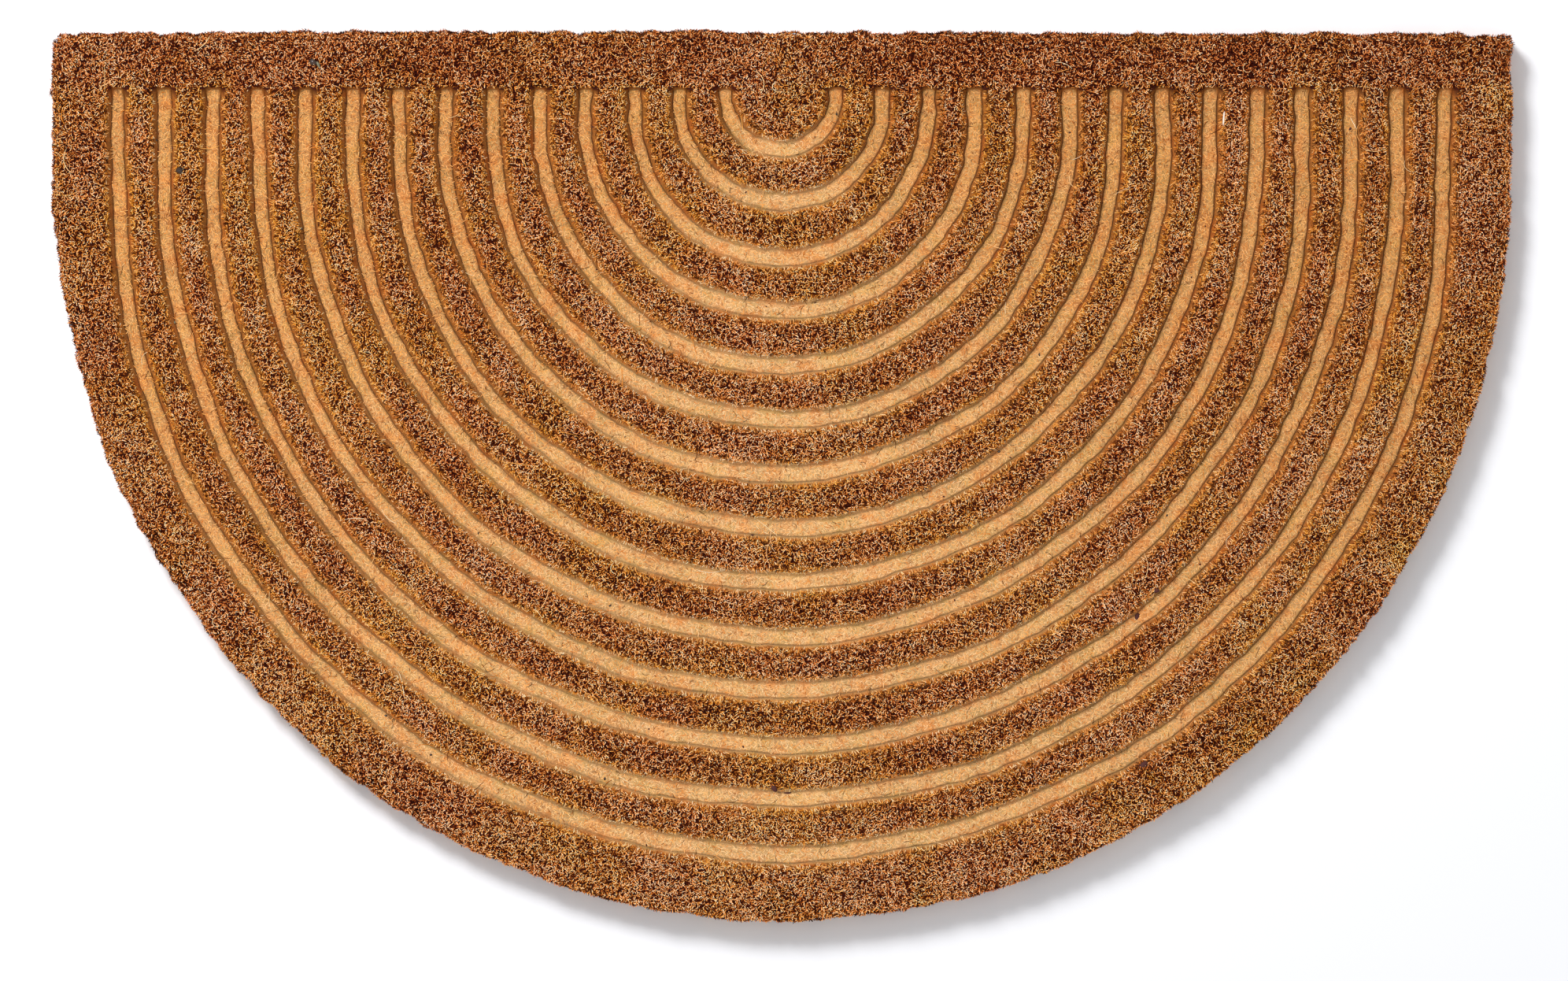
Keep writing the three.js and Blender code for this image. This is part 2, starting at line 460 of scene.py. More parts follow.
@dataclass(frozen=True)
class PileRelief:
    """Heights over the mat: the section across a band, the worn rim and the lumps of the pile."""

    top: float = 16.0
    # Half of a band's floor, and how far from its middle line the pile begins on a steep
    # side, with the ledge's own width on the other
    floor_half: float = 3.4
    steep_brow_at: float = 5.4
    ledge_width: float = 0.8
    # The pile is worn lower beside a band and beside the cut edge
    brow_reach: float = 3.0
    brow_drop: float = 1.5
    rim_reach: float = 3.2
    rim_drop: float = 1.9
    # How far the ground that the fibres stand on lies below their tips
    ground_drop: float = 2.0
    # A band's end wall, which lies a little past the line and is rounded beyond its flat part
    end_wall: float = 1.2
    end_lag: float = 0.3
    end_flat: float = 1.6
    end_round: float = 0.45
    # From these numbers up, coir counts as pressed into a floor and into a wall
    floor_press: float = 0.85
    wall_press: float = 0.3
    # How much less the floors are pressed along the legs, which leaves them darker there, and how
    # much more the walls are pressed at the foot of each U, which paints them paler: painted light
    # on the walls that face away from the lamp there
    side_lag: float = 0.12
    wall_painted_light: float = 0.44
    # How much lighter the painted shade in the creases is at the foot, and how much more so on the
    # steep side
    crease_loss: float = 0.3
    steep_crease_shade_loss: float = 0.5
    # How much narrower each side of the bands is along their left legs
    left_narrow: float = 0.4
    # Round each U, in degrees from the right: where the ledge ends inside the band and where
    # it begins outside it, each with the stretch that the change takes
    inner_ledge_end: tuple[float, float] = (232.0, 30.0)
    outer_ledge_start: tuple[float, float] = (236.0, 26.0)
    lump_height: float = 0.26
    lump_mm: float = 17.0
    # Small lumps ride on these, read from elsewhere
    small_lump_share: float = 0.6
    small_lump_mm: float = 7.0
    small_lump_shift: tuple[float, float] = (91.0, -37.0)
    outline: CutOutline = field(default_factory=CutOutline)
    bands: PressedBands = PressedBands()
    lumps: Unevenness = Unevenness(11)
    # Sections across a band, outwards from its middle line and down from the pile's top, in
    # millimetres. Both sides share the floor and the ground between the bands, but the die drew a
    # ledge on one side of each band and left the other side steep. The press column sets the colour
    # too: the steep side is pressed paler and the ledge side darker, partly the die's work and
    # partly painted light and shade that even out how the lamp lights the two walls.
    floor_rows: Rows = (
        (0.0, 6.3, 1.0, 0.0),
        (1.9, 6.35, 1.0, 0.0),
        (2.9, 6.4, 1.0, 0.0),
        (3.4, 6.5, 0.95, 0.15),
    )
    ledge_rows: Rows = (
        (3.78, 7.0, 0.6, 1.0),
        (4.18, 5.9, 0.54, 0.25),
        (5.0, 5.2, 0.4, 0.0),
        (5.9, 4.3, 0.28, 0.0),
        (7.0, 3.2, 0.2, 0.0),
        (8.6, 2.4, 0.1, 0.0),
    )
    steep_rows: Rows = (
        (3.78, 6.9, 0.64, 0.95),
        (4.18, 5.8, 0.66, 0.2),
        (5.0, 4.7, 0.6, 0.0),
        (5.9, 3.6, 0.42, 0.0),
        (7.0, 2.8, 0.16, 0.0),
        (8.6, 2.2, 0.04, 0.0),
    )
    ground_rows: Rows = ((10.6, 2.0, 0.0, 0.0),)

    def section(self, wall: Rows) -> Numbers:
        """Gives the whole section across one side of a band from the rows of its wall."""
        return np.array(self.floor_rows + wall + self.ground_rows)

    def lump(self, x: Numbers, y: Numbers) -> Numbers:
        """Gives how much higher or lower the pile stands where it is thick or thin."""
        shift_x, shift_y = self.small_lump_shift
        large = self.lumps.at(x, y, self.lump_mm)
        small = self.lumps.at(x + shift_x, y + shift_y, self.small_lump_mm)
        return self.lump_height * (large + self.small_lump_share * small)

    def near_band(self, places: BandPlaces) -> Numbers:
        """Gives, from 0 to 1, how close places on the pile are to a band's brow."""
        beside = (self.brow_at(places) + self.brow_reach - places.aside()) / self.brow_reach
        before_end = 1 - places.past_end / self.brow_reach
        return smooth_step(np.minimum(beside, before_end))

    def ledge(self, places: BandPlaces) -> Numbers:
        """Gives, from 0 to 1, how much of a ledge there is on the side of a band places are on."""
        turn = np.degrees(np.arctan2(places.out_y, places.out_x)) % 360
        turn = np.where(turn < 90, 360.0, turn)
        end, fade_out = self.inner_ledge_end
        start, fade_in = self.outer_ledge_start
        within = 1 - smooth_step((turn - end) / fade_out)
        beyond = smooth_step((turn - start) / fade_in)
        return np.where(places.distance < 0, within, beyond)

    def brow_at(self, places: BandPlaces) -> Numbers:
        """Gives how far from the middle line of its band the standing pile begins."""
        return self.steep_brow_at + self.ledge_width * self.ledge(places)

    def foot(self, places: BandPlaces) -> Numbers:
        """Gives, from 0 to 1, how near places are to the foot of the U of their band."""
        return np.clip(-places.out_y, 0, 1) ** 2

    def near_rim(self, inset: Numbers) -> Numbers:
        """Gives, from 0 to 1, how close places on the pile are to the cut edge."""
        return smooth_step(1 - inset / self.rim_reach)

    def pile_top(self, x: Numbers, y: Numbers, places: BandPlaces, inset: Numbers) -> Numbers:
        """Gives the height at which the fibres' tips stand.

        Args:
            x: Places along the straight edge, in millimetres.
            y: Places towards the straight edge, in millimetres.
            places: The same places beside their nearest bands.
            inset: How far inside the cut edge they lie.

        Returns:
            Heights above the floor, in millimetres.
        """
        worn = self.brow_drop * self.near_band(places) ** 2
        worn = worn + self.rim_drop * self.near_rim(inset) ** 2
        return self.top + self.lump(x, y) - worn

    def ground(
        self, x: Numbers, y: Numbers, places: BandPlaces, inset: Numbers,
    ) -> tuple[Numbers, Numbers, Numbers]:
        """Gives the height of the slab itself and how its coir is pressed.

        Args:
            x: Places along the straight edge, in millimetres.
            y: Places towards the straight edge, in millimetres.
            places: The same places beside their nearest bands.
            inset: How far inside the cut edge they lie.

        Returns:
            Heights above the floor in millimetres, how hard the coir is pressed, and how much
            painted shade it takes in a crease, both from 0 to 1.
        """
        ledge, steep = self.section(self.ledge_rows), self.section(self.steep_rows)
        narrow = self.left_narrow * np.clip(-places.out_x, 0, 1)
        aside = places.aside() + narrow * smooth_step(places.aside() - 1)
        share, offsets = self.ledge(places), ledge[:, 0]
        drop, press, crease = (
            share * np.interp(aside, offsets, ledge[:, i])
            + (1 - share) * np.interp(aside, offsets, steep[:, i])
            for i in (1, 2, 3))
        rounded = self.end_round * np.maximum(aside - self.end_flat, 0)
        inside = 1 - np.clip((places.past_end + rounded - self.end_lag) / self.end_wall, 0, 1)
        shallow = self.ground_drop + self.rim_drop * self.near_rim(inset)
        drop = np.where(aside < offsets[-1], inside * drop + (1 - inside) * shallow, shallow)
        foot = self.foot(places)
        on_floor = self.side_lag * (foot - 1)
        # Walls at the foot of a U are pressed paler: painted light for those that face away from
        # the lamp
        on_wall = self.wall_painted_light * foot * (press > self.wall_press)
        press = press + np.where(press > self.floor_press, on_floor, on_wall)
        press = inside * np.where(aside < offsets[-1], press, 0.0)
        # The painted crease shade is lighter at the foot of a U, and more so on the steep side
        loss = (self.crease_loss + self.steep_crease_shade_loss * (1 - share)) * foot
        crease = inside * (1 - loss) * crease
        return self.top - drop + self.lump(x, y) * (1 - press), press, crease

    def resting(self, x: Numbers, y: Numbers, on_band: float, on_pile: float) -> Numbers:
        """Gives the height at which a loose thing rests.

        Args:
            x: Places along the straight edge, in millimetres.
            y: Places towards the straight edge, in millimetres.
            on_band: How far above the slab it lies in a band.
            on_pile: How far above the fibres' tips it lies elsewhere.

        Returns:
            Heights above the floor, in millimetres.
        """
        places, inset = self.bands.locate(x, y), self.outline.inset(x, y)
        slab = self.ground(x, y, places, inset)[0]
        pile = self.pile_top(x, y, places, inset)
        pressed = (places.aside() < self.brow_at(places)) & (places.past_end < 0)
        return np.where(pressed, slab + on_band, pile + on_pile)


def new_piece(
    name: str,
    points: Numbers,
    corners: Numbers,
    face_sizes: Numbers,
    materials: Sequence[bpy.types.Material],
    colour_map: Numbers | None = None,
    worn_by: dict[str, Numbers] | None = None,
    face_materials: Numbers | None = None,
    rounded: bool = False,
) -> bpy.types.Object:
    """Makes one piece of the mat from arrays.

    Args:
        name: The piece's name.
        points: Its points in the frame, in metres.
        corners: The point at each corner of each face, face after face.
        face_sizes: The number of corners of each face.
        materials: What its faces are made of.
        colour_map: A place on the colour map for each corner.
        worn_by: Named numbers, one for each point, that its materials read.
        face_materials: The material's place in the list, for each face.
        rounded: Whether its faces are shaded as one smooth surface.

    Returns:
        The piece, riding on the mat.
    """
    mesh = bpy.data.meshes.new(name)
    mesh.vertices.add(len(points))
    mesh.vertices.foreach_set("co", np.ascontiguousarray(points, np.float32).ravel())
    mesh.loops.add(len(corners))
    mesh.loops.foreach_set("vertex_index", np.ascontiguousarray(corners, np.int32))
    mesh.polygons.add(len(face_sizes))
    starts = np.concatenate([[0], np.cumsum(face_sizes)[:-1]]).astype(np.int32)
    mesh.polygons.foreach_set("loop_start", starts)
    if face_materials is not None:
        mesh.polygons.foreach_set("material_index", face_materials.astype(np.int32))
    mesh.update(calc_edges=True)
    if colour_map is not None:
        layer = mesh.uv_layers.new(name=COLOUR_MAP)
        layer.uv.foreach_set("vector", np.ascontiguousarray(colour_map, np.float32).ravel())
    for label, numbers in (worn_by or {}).items():
        attribute = mesh.attributes.new(label, "FLOAT", "POINT")
        attribute.data.foreach_set("value", np.ascontiguousarray(numbers, np.float32))
    mesh.polygons.foreach_set("use_smooth", np.full(len(face_sizes), rounded))
    for material in materials:
        mesh.materials.append(material)
    mesh.validate()
    piece = bpy.data.objects.new(name, mesh)
    bpy.context.scene.collection.objects.link(piece)
    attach(piece, BODY)
    LOG.info("%s: %d points, %d faces", name, len(points), len(face_sizes))
    return piece


@dataclass(frozen=True)
class CutCoirFinish:
    """Coconut coir: brown husk fibre, combed and cut to an even pile.

    The fibre is matt and a little waxy, so it gives the eye short pale strokes over dark gaps.
    Its roots are painted darker than its tips, as painted shade down in the pile and painted light
    on the tips, and it runs from red brown to golden from place to place.
    """

    name: str = "cut_coir_fibre"
    red_brown: tuple[tuple[float, str], ...] = (
        (0.0, "#100000"), (0.25, "#4e0c00"), (0.5, "#d46c2a"), (0.75, "#fcb270"), (1.0, "#fff0d4"))
    golden: tuple[tuple[float, str], ...] = (
        (0.0, "#160400"), (0.25, "#642800"), (0.5, "#e08a22"), (0.75, "#fab854"), (1.0, "#fff0b4"))
    roughness: float = 0.6
    ior: float = 1.5
    specular: float = 0.04

    def material(self) -> bpy.types.Material:
        """Builds the finish; a fibre's place on the colour map picks its tone and hue."""
        made, tree, shader = new_material(self.name, {
            "Roughness": self.roughness, "IOR": self.ior, "Specular IOR Level": self.specular})
        place = add_node(tree, "ShaderNodeUVMap", uv_map=COLOUR_MAP)
        parts = add_node(tree, "ShaderNodeSeparateXYZ", links={0: place.outputs[0]})
        red, gold = (
            add_node(tree, "ShaderNodeValToRGB", links={0: parts.outputs["X"]}, stops=stops)
            for stops in (self.red_brown, self.golden))
        mixed = add_node(
            tree, "ShaderNodeMix", data_type="RGBA",
            links={"Factor": parts.outputs["Y"], "A": red.outputs[0], "B": gold.outputs[0]})
        tree.links.new(mixed.outputs["Result"], shader.inputs["Base Color"])
        return made


@dataclass(frozen=True)
class PressedCoirFinish:
    """The felted slab under the pile: coir fibres matted together and pressed with latex.

    Where the die was hottest it is flat and pale gold, with fine fibres lying every way.
    Its creases are painted dark brown, as painted shade, and the ground between the tufts is the
    coir's brown darkened with painted shade for the gaps.
    """

    name: str = "pressed_coir"
    # The ground between the tufts is the coir's brown darkened with painted shade, for the shade in
    # the gaps
    ground: str = "#441303"
    wall: str = "#a9682f"
    side_pale: str = "#c89258"
    pale: str = "#d9ab73"
    # Painted shade for the creases at the foot of the band walls
    crease: str = "#340c00"
    roughness: float = 0.75
    ior: float = 1.5
    specular: float = 0.12
    # How hard the coir is pressed where its colour changes: ground, wall, wall, leg and foot
    press_stops: tuple[float, ...] = (0.0, 0.4, 0.6, 0.88, 1.0)
    # Real fibres are 0.2 to 0.3 mm thick, too fine to show in the render, so the strokes that
    # stand for them are drawn as coarse as this and this many times as long. They lie three
    # ways, at these turns in radians.
    stroke_mm: float = 0.75
    stroke_ratio: float = 3.5
    stroke_turns: tuple[float, ...] = (0.35, 1.4, 2.45)
    stroke_wobble: float = 0.6
    # Broad patches are lighter and darker, and smaller ones are redder and greener
    patch_mm: float = 16.0
    tint_mm: float = 9.0
    tint_seed: float = 3.0
    tints: tuple[tuple[float, str], ...] = ((0.32, "#ffe2cc"), (0.5, "#ffffff"), (0.68, "#f6f8e6"))
    # The stretch of each noise that is used, and how dark and light it makes the coir
    stroke_noise: Span = (0.44, 0.68)
    stroke_light: Span = (0.6, 1.12)
    patch_noise: Span = (0.3, 0.7)
    patch_light: Span = (0.86, 1.1)
    bump_strength: float = 0.5
    bump_mm: float = 0.3

    def material(self) -> bpy.types.Material:
        """Builds the finish from how hard each place of the slab is pressed."""
        made, tree, shader = new_material(self.name, {
            "Roughness": self.roughness, "IOR": self.ior, "Specular IOR Level": self.specular})
        spot = add_node(tree, "ShaderNodeTexCoord").outputs["Object"]
        streaks = self.streaks(tree, spot)
        patches = add_node(
            tree, "ShaderNodeTexNoise", links={"Vector": spot},
            values={"Scale": 1 / (self.patch_mm * MM), "Detail": 3.0})
        press, crease = (
            add_node(tree, "ShaderNodeAttribute", attribute_name=name)
            for name in ("press", "crease"))
        colours = (self.ground, self.wall, self.wall, self.side_pale, self.pale)
        base = add_node(
            tree, "ShaderNodeValToRGB", links={0: press.outputs["Fac"]},
            stops=tuple(zip(self.press_stops, colours)))
        # Painted shade darkens the creases
        dark = add_node(
            tree, "ShaderNodeMix", data_type="RGBA", values={"B": linear(self.crease)},
            links={"Factor": crease.outputs["Fac"], "A": base.outputs[0]})
        fine = self.as_light(tree, streaks, self.stroke_noise, self.stroke_light)
        broad = self.as_light(tree, patches.outputs[0], self.patch_noise, self.patch_light)
        both = add_node(
            tree, "ShaderNodeMath", operation="MULTIPLY",
            links={0: fine.outputs[0], 1: broad.outputs[0]})
        shaded = add_node(
            tree, "ShaderNodeVectorMath", operation="SCALE",
            links={0: dark.outputs["Result"], "Scale": both.outputs[0]})
        drift = add_node(
            tree, "ShaderNodeTexNoise", noise_dimensions="4D", links={"Vector": spot},
            values={"Scale": 1 / (self.tint_mm * MM), "Detail": 2.0, "W": self.tint_seed})
        tint = add_node(
            tree, "ShaderNodeValToRGB", links={0: drift.outputs[0]}, stops=self.tints)
        tinted = add_node(
            tree, "ShaderNodeVectorMath", operation="MULTIPLY",
            links={0: shaded.outputs[0], 1: tint.outputs[0]})
        tree.links.new(tinted.outputs[0], shader.inputs["Base Color"])
        bump = add_node(
            tree, "ShaderNodeBump", links={"Height": streaks},
            values={"Strength": self.bump_strength, "Distance": self.bump_mm * MM})
        tree.links.new(bump.outputs[0], shader.inputs["Normal"])
        return made

    def streaks(
        self, tree: bpy.types.NodeTree, spot: bpy.types.NodeSocket,
    ) -> bpy.types.NodeSocket:
        """Draws the strokes of fine fibres, one lay over another.

        Args:
            tree: The material's node tree.
            spot: Where a place lies on the mat.

        Returns:
            How high the uppermost stroke stands at each place.
        """
        streaks = None
        for turn in self.stroke_turns:
            laid = add_node(
                tree, "ShaderNodeMapping", vector_type="TEXTURE", links={"Vector": spot},
                values={"Rotation": (0, 0, turn), "Scale": (self.stroke_ratio, 1, 1)})
            lay = add_node(
                tree, "ShaderNodeTexNoise", links={"Vector": laid.outputs[0]},
                values={"Scale": 1 / (self.stroke_mm * MM), "Detail": 2.0,
                        "Distortion": self.stroke_wobble}).outputs[0]
            streaks = lay if streaks is None else add_node(
                tree, "ShaderNodeMath", operation="MAXIMUM", links={0: streaks, 1: lay}).outputs[0]
        return streaks

    @staticmethod
    def as_light(
        tree: bpy.types.NodeTree, noise: bpy.types.NodeSocket, used: Span, light: Span,
    ) -> bpy.types.Node:
        """Turns the used stretch of a noise into how light it makes the coir."""
        return add_node(
            tree, "ShaderNodeMapRange", links={"Value": noise},
            values={"From Min": used[0], "From Max": used[1],
                    "To Min": light[0], "To Max": light[1]})


@dataclass(frozen=True)
class MatFrame:
    """Where the mat's drawing lies in the frame, which has its origin under the mat's middle."""

    middle_x: float
    middle_y: float

    def place(self, x: Numbers, y: Numbers, z: Numbers) -> Numbers:
        """Turns places on the drawing, in millimetres, into points in the frame, in metres."""
        return np.column_stack([x - self.middle_x, y - self.middle_y, z]) * MM


@dataclass
class CoirSlab:
    """The pressed slab: a grid that follows the bands, closed by its cut edge and underside."""

    relief: PileRelief
    seat: MatFrame
    # Rows along the bands, then the columns inside the first band, as distances from its
    # middle line, and those between the last band and the rim, as shares of the way
    rows: int = 262
    inner_offsets: tuple[float, ...] = (-24.0, -18.0, -12.5)
    rim_shares: tuple[float, ...] = (0.3, 0.6, 0.82, 0.94, 1.0)
    # Rows of the plain strip, as shares of the way from the bands' ends to the rim
    strip_rows: tuple[float, ...] = (0.0, 0.22, 0.48, 0.75, 0.92, 1.0)
    # The grid ends this far inside the cut line. Loops round the edge follow, outwards and
    # down: how far inside the cut line and how high.
    grid_inset: float = 5.0
    edge_loops: tuple[tuple[float, float], ...] = (
        (2.2, 13.6), (1.5, 12.6), (1.1, 10.5), (0.9, 7.5), (0.9, 2.0), (1.1, 0.0))
    edge_press: float = 0.15
    rim_rounds: int = 6
    # On the baked map, the top takes this much of the height, and the underside is drawn at
    # this scale round this height
    top_share: float = 0.62
    under_scale: float = 0.5
    under_middle: float = 0.17
    map_margin: float = 4.0
    edge_slack: float = 0.1

    def columns(self) -> tuple[Numbers, Numbers]:
        """Draws the columns of the grid that run along the bands, from the inside out.

        Returns:
            The x and y of each place, a row for each step along the bands.
        """
        bands, outline = self.relief.bands, self.relief.outline
        share = np.linspace(0, 1, self.rows)
        offsets = self.relief.section(self.relief.ledge_rows)[:, 0].tolist()
        across = [-d for d in reversed(offsets[1:])] + offsets
        drawn = [bands.beside(0, d, share) for d in self.inner_offsets]
        for number in range(bands.count):
            if number:
                before = drawn[-1]
                after = bands.beside(number, across[0], share)
                drawn.append(((before[0] + after[0]) / 2, (before[1] + after[1]) / 2))
            drawn.extend(bands.beside(number, d, share) for d in across)
        brow_x, brow_y = drawn[-1]
        out_x, out_y = outline.outward(brow_x, brow_y)
        rim_x, rim_y = brow_x, brow_y
        for _ in range(self.rim_rounds):
            push = outline.inset(rim_x, rim_y) - self.grid_inset
            rim_x, rim_y = rim_x + push * out_x, rim_y + push * out_y
        rim_y[[0, -1]] = bands.line_y
        for part in self.rim_shares:
            drawn.append((brow_x + part * (rim_x - brow_x), brow_y + part * (rim_y - brow_y)))
        return np.array([c[0] for c in drawn]).T, np.array([c[1] for c in drawn]).T

    def strip(self, line_x: Numbers) -> tuple[Numbers, Numbers]:
        """Draws the plain strip between the bands' ends and the straight edge.

        Args:
            line_x: Where the grid's columns meet the line that the bands end on.

        Returns:
            The x and y of each place, a row for each step towards the straight edge.
        """
        relief, outline = self.relief, self.relief.outline
        line_y = relief.bands.line_y + relief.end_wall
        knife = outline.wave(outline.half_width - outline.right_corner - line_x)
        end_y = outline.back + knife - self.grid_inset
        shares = np.array(self.strip_rows)[:, None]
        foot_of_wall = np.full_like(end_y, line_y - relief.end_wall)
        lines = np.vstack([foot_of_wall, line_y + shares * (end_y - line_y)])
        lines[:2] += relief.end_lag
        return np.repeat(line_x[None], len(lines), 0), lines

    def build(self, material: bpy.types.Material) -> bpy.types.Object:
        """Builds the slab and dresses it.

        Args:
            material: The finish of pressed coir.

        Returns:
            The slab, which stands in for the plain solid.
        """
        relief, outline = self.relief, self.relief.outline
        grid_x, grid_y = self.columns()
        rows, columns = grid_x.shape
        line_x = np.concatenate([grid_x[0, ::-1], grid_x[-1]])
        strip_x, strip_y = self.strip(line_x)
        index = np.arange(rows * columns).reshape(rows, columns)
        strip = rows * columns + np.arange(strip_x.size).reshape(strip_x.shape)
        x = np.concatenate([grid_x.ravel(), strip_x.ravel()])
        y = np.concatenate([grid_y.ravel(), strip_y.ravel()])
        places, inset = relief.bands.locate(x, y), outline.inset(x, y)
        z, press, crease = relief.ground(x, y, places, inset)
        quads = [self.weave(index), self.weave(strip)]
        ends = np.concatenate([index[0, ::-1], index[-1]])
        quads.append(np.column_stack([ends[:-1], ends[1:], strip[0, 1:], strip[0, :-1]]))
        quads[2] = np.delete(quads[2], columns - 1, axis=0)
        cap = np.concatenate([index[:, 0], strip[0, columns:columns - 2:-1]])
        loop = np.concatenate([index[:, -1], strip[:, -1], strip[-1, -2::-1], strip[-2::-1, 0]])
        points, pressed, crease_shades = [np.column_stack([x, y, z])], [press], [crease]
        count, before = len(x), loop
        edge_x, edge_y = x[loop], y[loop]
        right_corner = rows + len(strip) - 1
        corner = [right_corner, right_corner + len(line_x) - 1]
        for inwards, height in self.edge_loops:
            edge_x, edge_y = outline.settle(edge_x, edge_y, inwards)
            edge_x[corner], edge_y[corner] = outline.back_corners(inwards)
            here = count + np.arange(len(loop))
            quads.append(np.column_stack([before, here, np.roll(here, -1), np.roll(before, -1)]))
            points.append(np.column_stack([edge_x, edge_y, np.full(len(loop), height)]))
            pressed.append(np.full(len(loop), self.edge_press))
            crease_shades.append(np.zeros(len(loop)))
            count, before = count + len(loop), here
        faces = np.concatenate(quads)
        corners = np.concatenate([faces.ravel(), cap, before[::-1]])
        sizes = np.concatenate([np.full(len(faces), 4), [len(cap), len(before)]])
        solid = np.concatenate(points)
        slab = new_piece(
            "coir_slab", self.seat.place(*solid.T), corners, sizes, [material],
            colour_map=self.lay_flat(solid, corners, len(before)), rounded=True,
            worn_by={"press": np.concatenate(pressed), "crease": np.concatenate(crease_shades)})
        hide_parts(NODE)
        return slab

    @staticmethod
    def weave(index: Numbers) -> Numbers:
        """Gives the four corners of each face of a grid of numbered points."""
        around = (index[:-1, :-1], index[:-1, 1:], index[1:, 1:], index[1:, :-1])
        return np.column_stack([corner.ravel() for corner in around])

    def lay_flat(self, solid: Numbers, corners: Numbers, last: int) -> Numbers:
        """Lays the slab out flat for its baked colours: the top above and the underside below.

        Args:
            solid: The slab's points, in millimetres.
            corners: The point at each corner of each face.
            last: The number of corners of the last face, which is the underside.

        Returns:
            A place on the map for each corner.
        """
        outline = self.relief.outline
        x, y, z = solid.T
        brink_inset, brink_height = self.edge_loops[0]
        out_x, out_y = outline.outward(x, y)
        fall = np.clip(brink_height - z, 0, None)
        edge = outline.inset(x, y) < brink_inset + self.edge_slack
        wide = outline.width + 2 * self.relief.top + self.map_margin
        across = 0.5 + (x + np.where(edge, fall * out_x, 0)) / wide
        up = (y + np.where(edge, fall * out_y, 0)) / wide
        flat = np.column_stack([across, 1 - self.top_share / 2 + up])[corners]
        under = np.column_stack([
            0.5 + self.under_scale * x / wide, self.under_middle + self.under_scale * y / wide])
        flat[-last:] = under[corners[-last:]]
        return flat


@dataclass
class Strands:
    """Where a crop of fibres is rooted and how each one lies, faces and is coloured."""

    # How wide a tip is beside its root, how much lighter it is painted, as painted light on the
    # tips, and how far the hue strays across a blade
    tip_share: ClassVar[float] = 0.6
    tip_painted_light: ClassVar[float] = 0.06
    hue_stray: ClassVar[float] = 0.006
    map_limits: ClassVar[Span] = (0.01, 0.99)
    root: Numbers
    tip: Numbers
    width: Numbers
    tone: Numbers
    hue: Numbers
    facing: Numbers

    def __len__(self) -> int:
        """Gives the number of fibres."""
        return len(self.root)

    def part(self, chosen: Numbers) -> "Strands":
        """Picks some of the fibres."""
        return Strands(*(values[chosen] for values in vars(self).values()))

    def build(
        self, name: str, seat: MatFrame, material: bpy.types.Material, root_painted_shade: float,
    ) -> bpy.types.Object:
        """Makes one joined mesh, in which each fibre is a flat blade that narrows to its tip.

        Args:
            name: The piece's name.
            seat: Where the mat's drawing lies in the frame.
            material: The fibres' finish.
            root_painted_shade: How much darker a fibre is painted at its root, as painted shade
                down in the pile.

        Returns:
            The piece.
        """
        side = unit(np.cross(self.facing, unit(self.tip - self.root)) + TINY)
        half = side * self.width[:, None] / 2
        tip_half = self.tip_share * half
        points = np.stack(
            [self.root - half, self.root + half, self.tip + tip_half, self.tip - tip_half],
            axis=1).reshape(-1, 3)
        # Roots are painted darker and tips lighter: painted shade down in the pile and painted
        # light on the tips
        root_tone, tip_tone = self.tone - root_painted_shade, self.tone + self.tip_painted_light
        tones = np.stack([root_tone, root_tone, tip_tone, tip_tone], axis=1)
        hues = self.hue[:, None] + self.hue_stray * np.array([-1, 1, 1, -1])
        colours = np.clip(np.stack([tones, hues], axis=2), *self.map_limits).reshape(-1, 2)
        return new_piece(
            name, seat.place(*points.T), np.arange(len(points)), np.full(len(self), 4),
            [material], colour_map=colours)


@dataclass(frozen=True)
class Patch:
    """A place where the coir is lighter, darker or more golden than around it."""

    x: float
    y: float
    reach_x: float
    reach_y: float
    tone: float
    hue: float


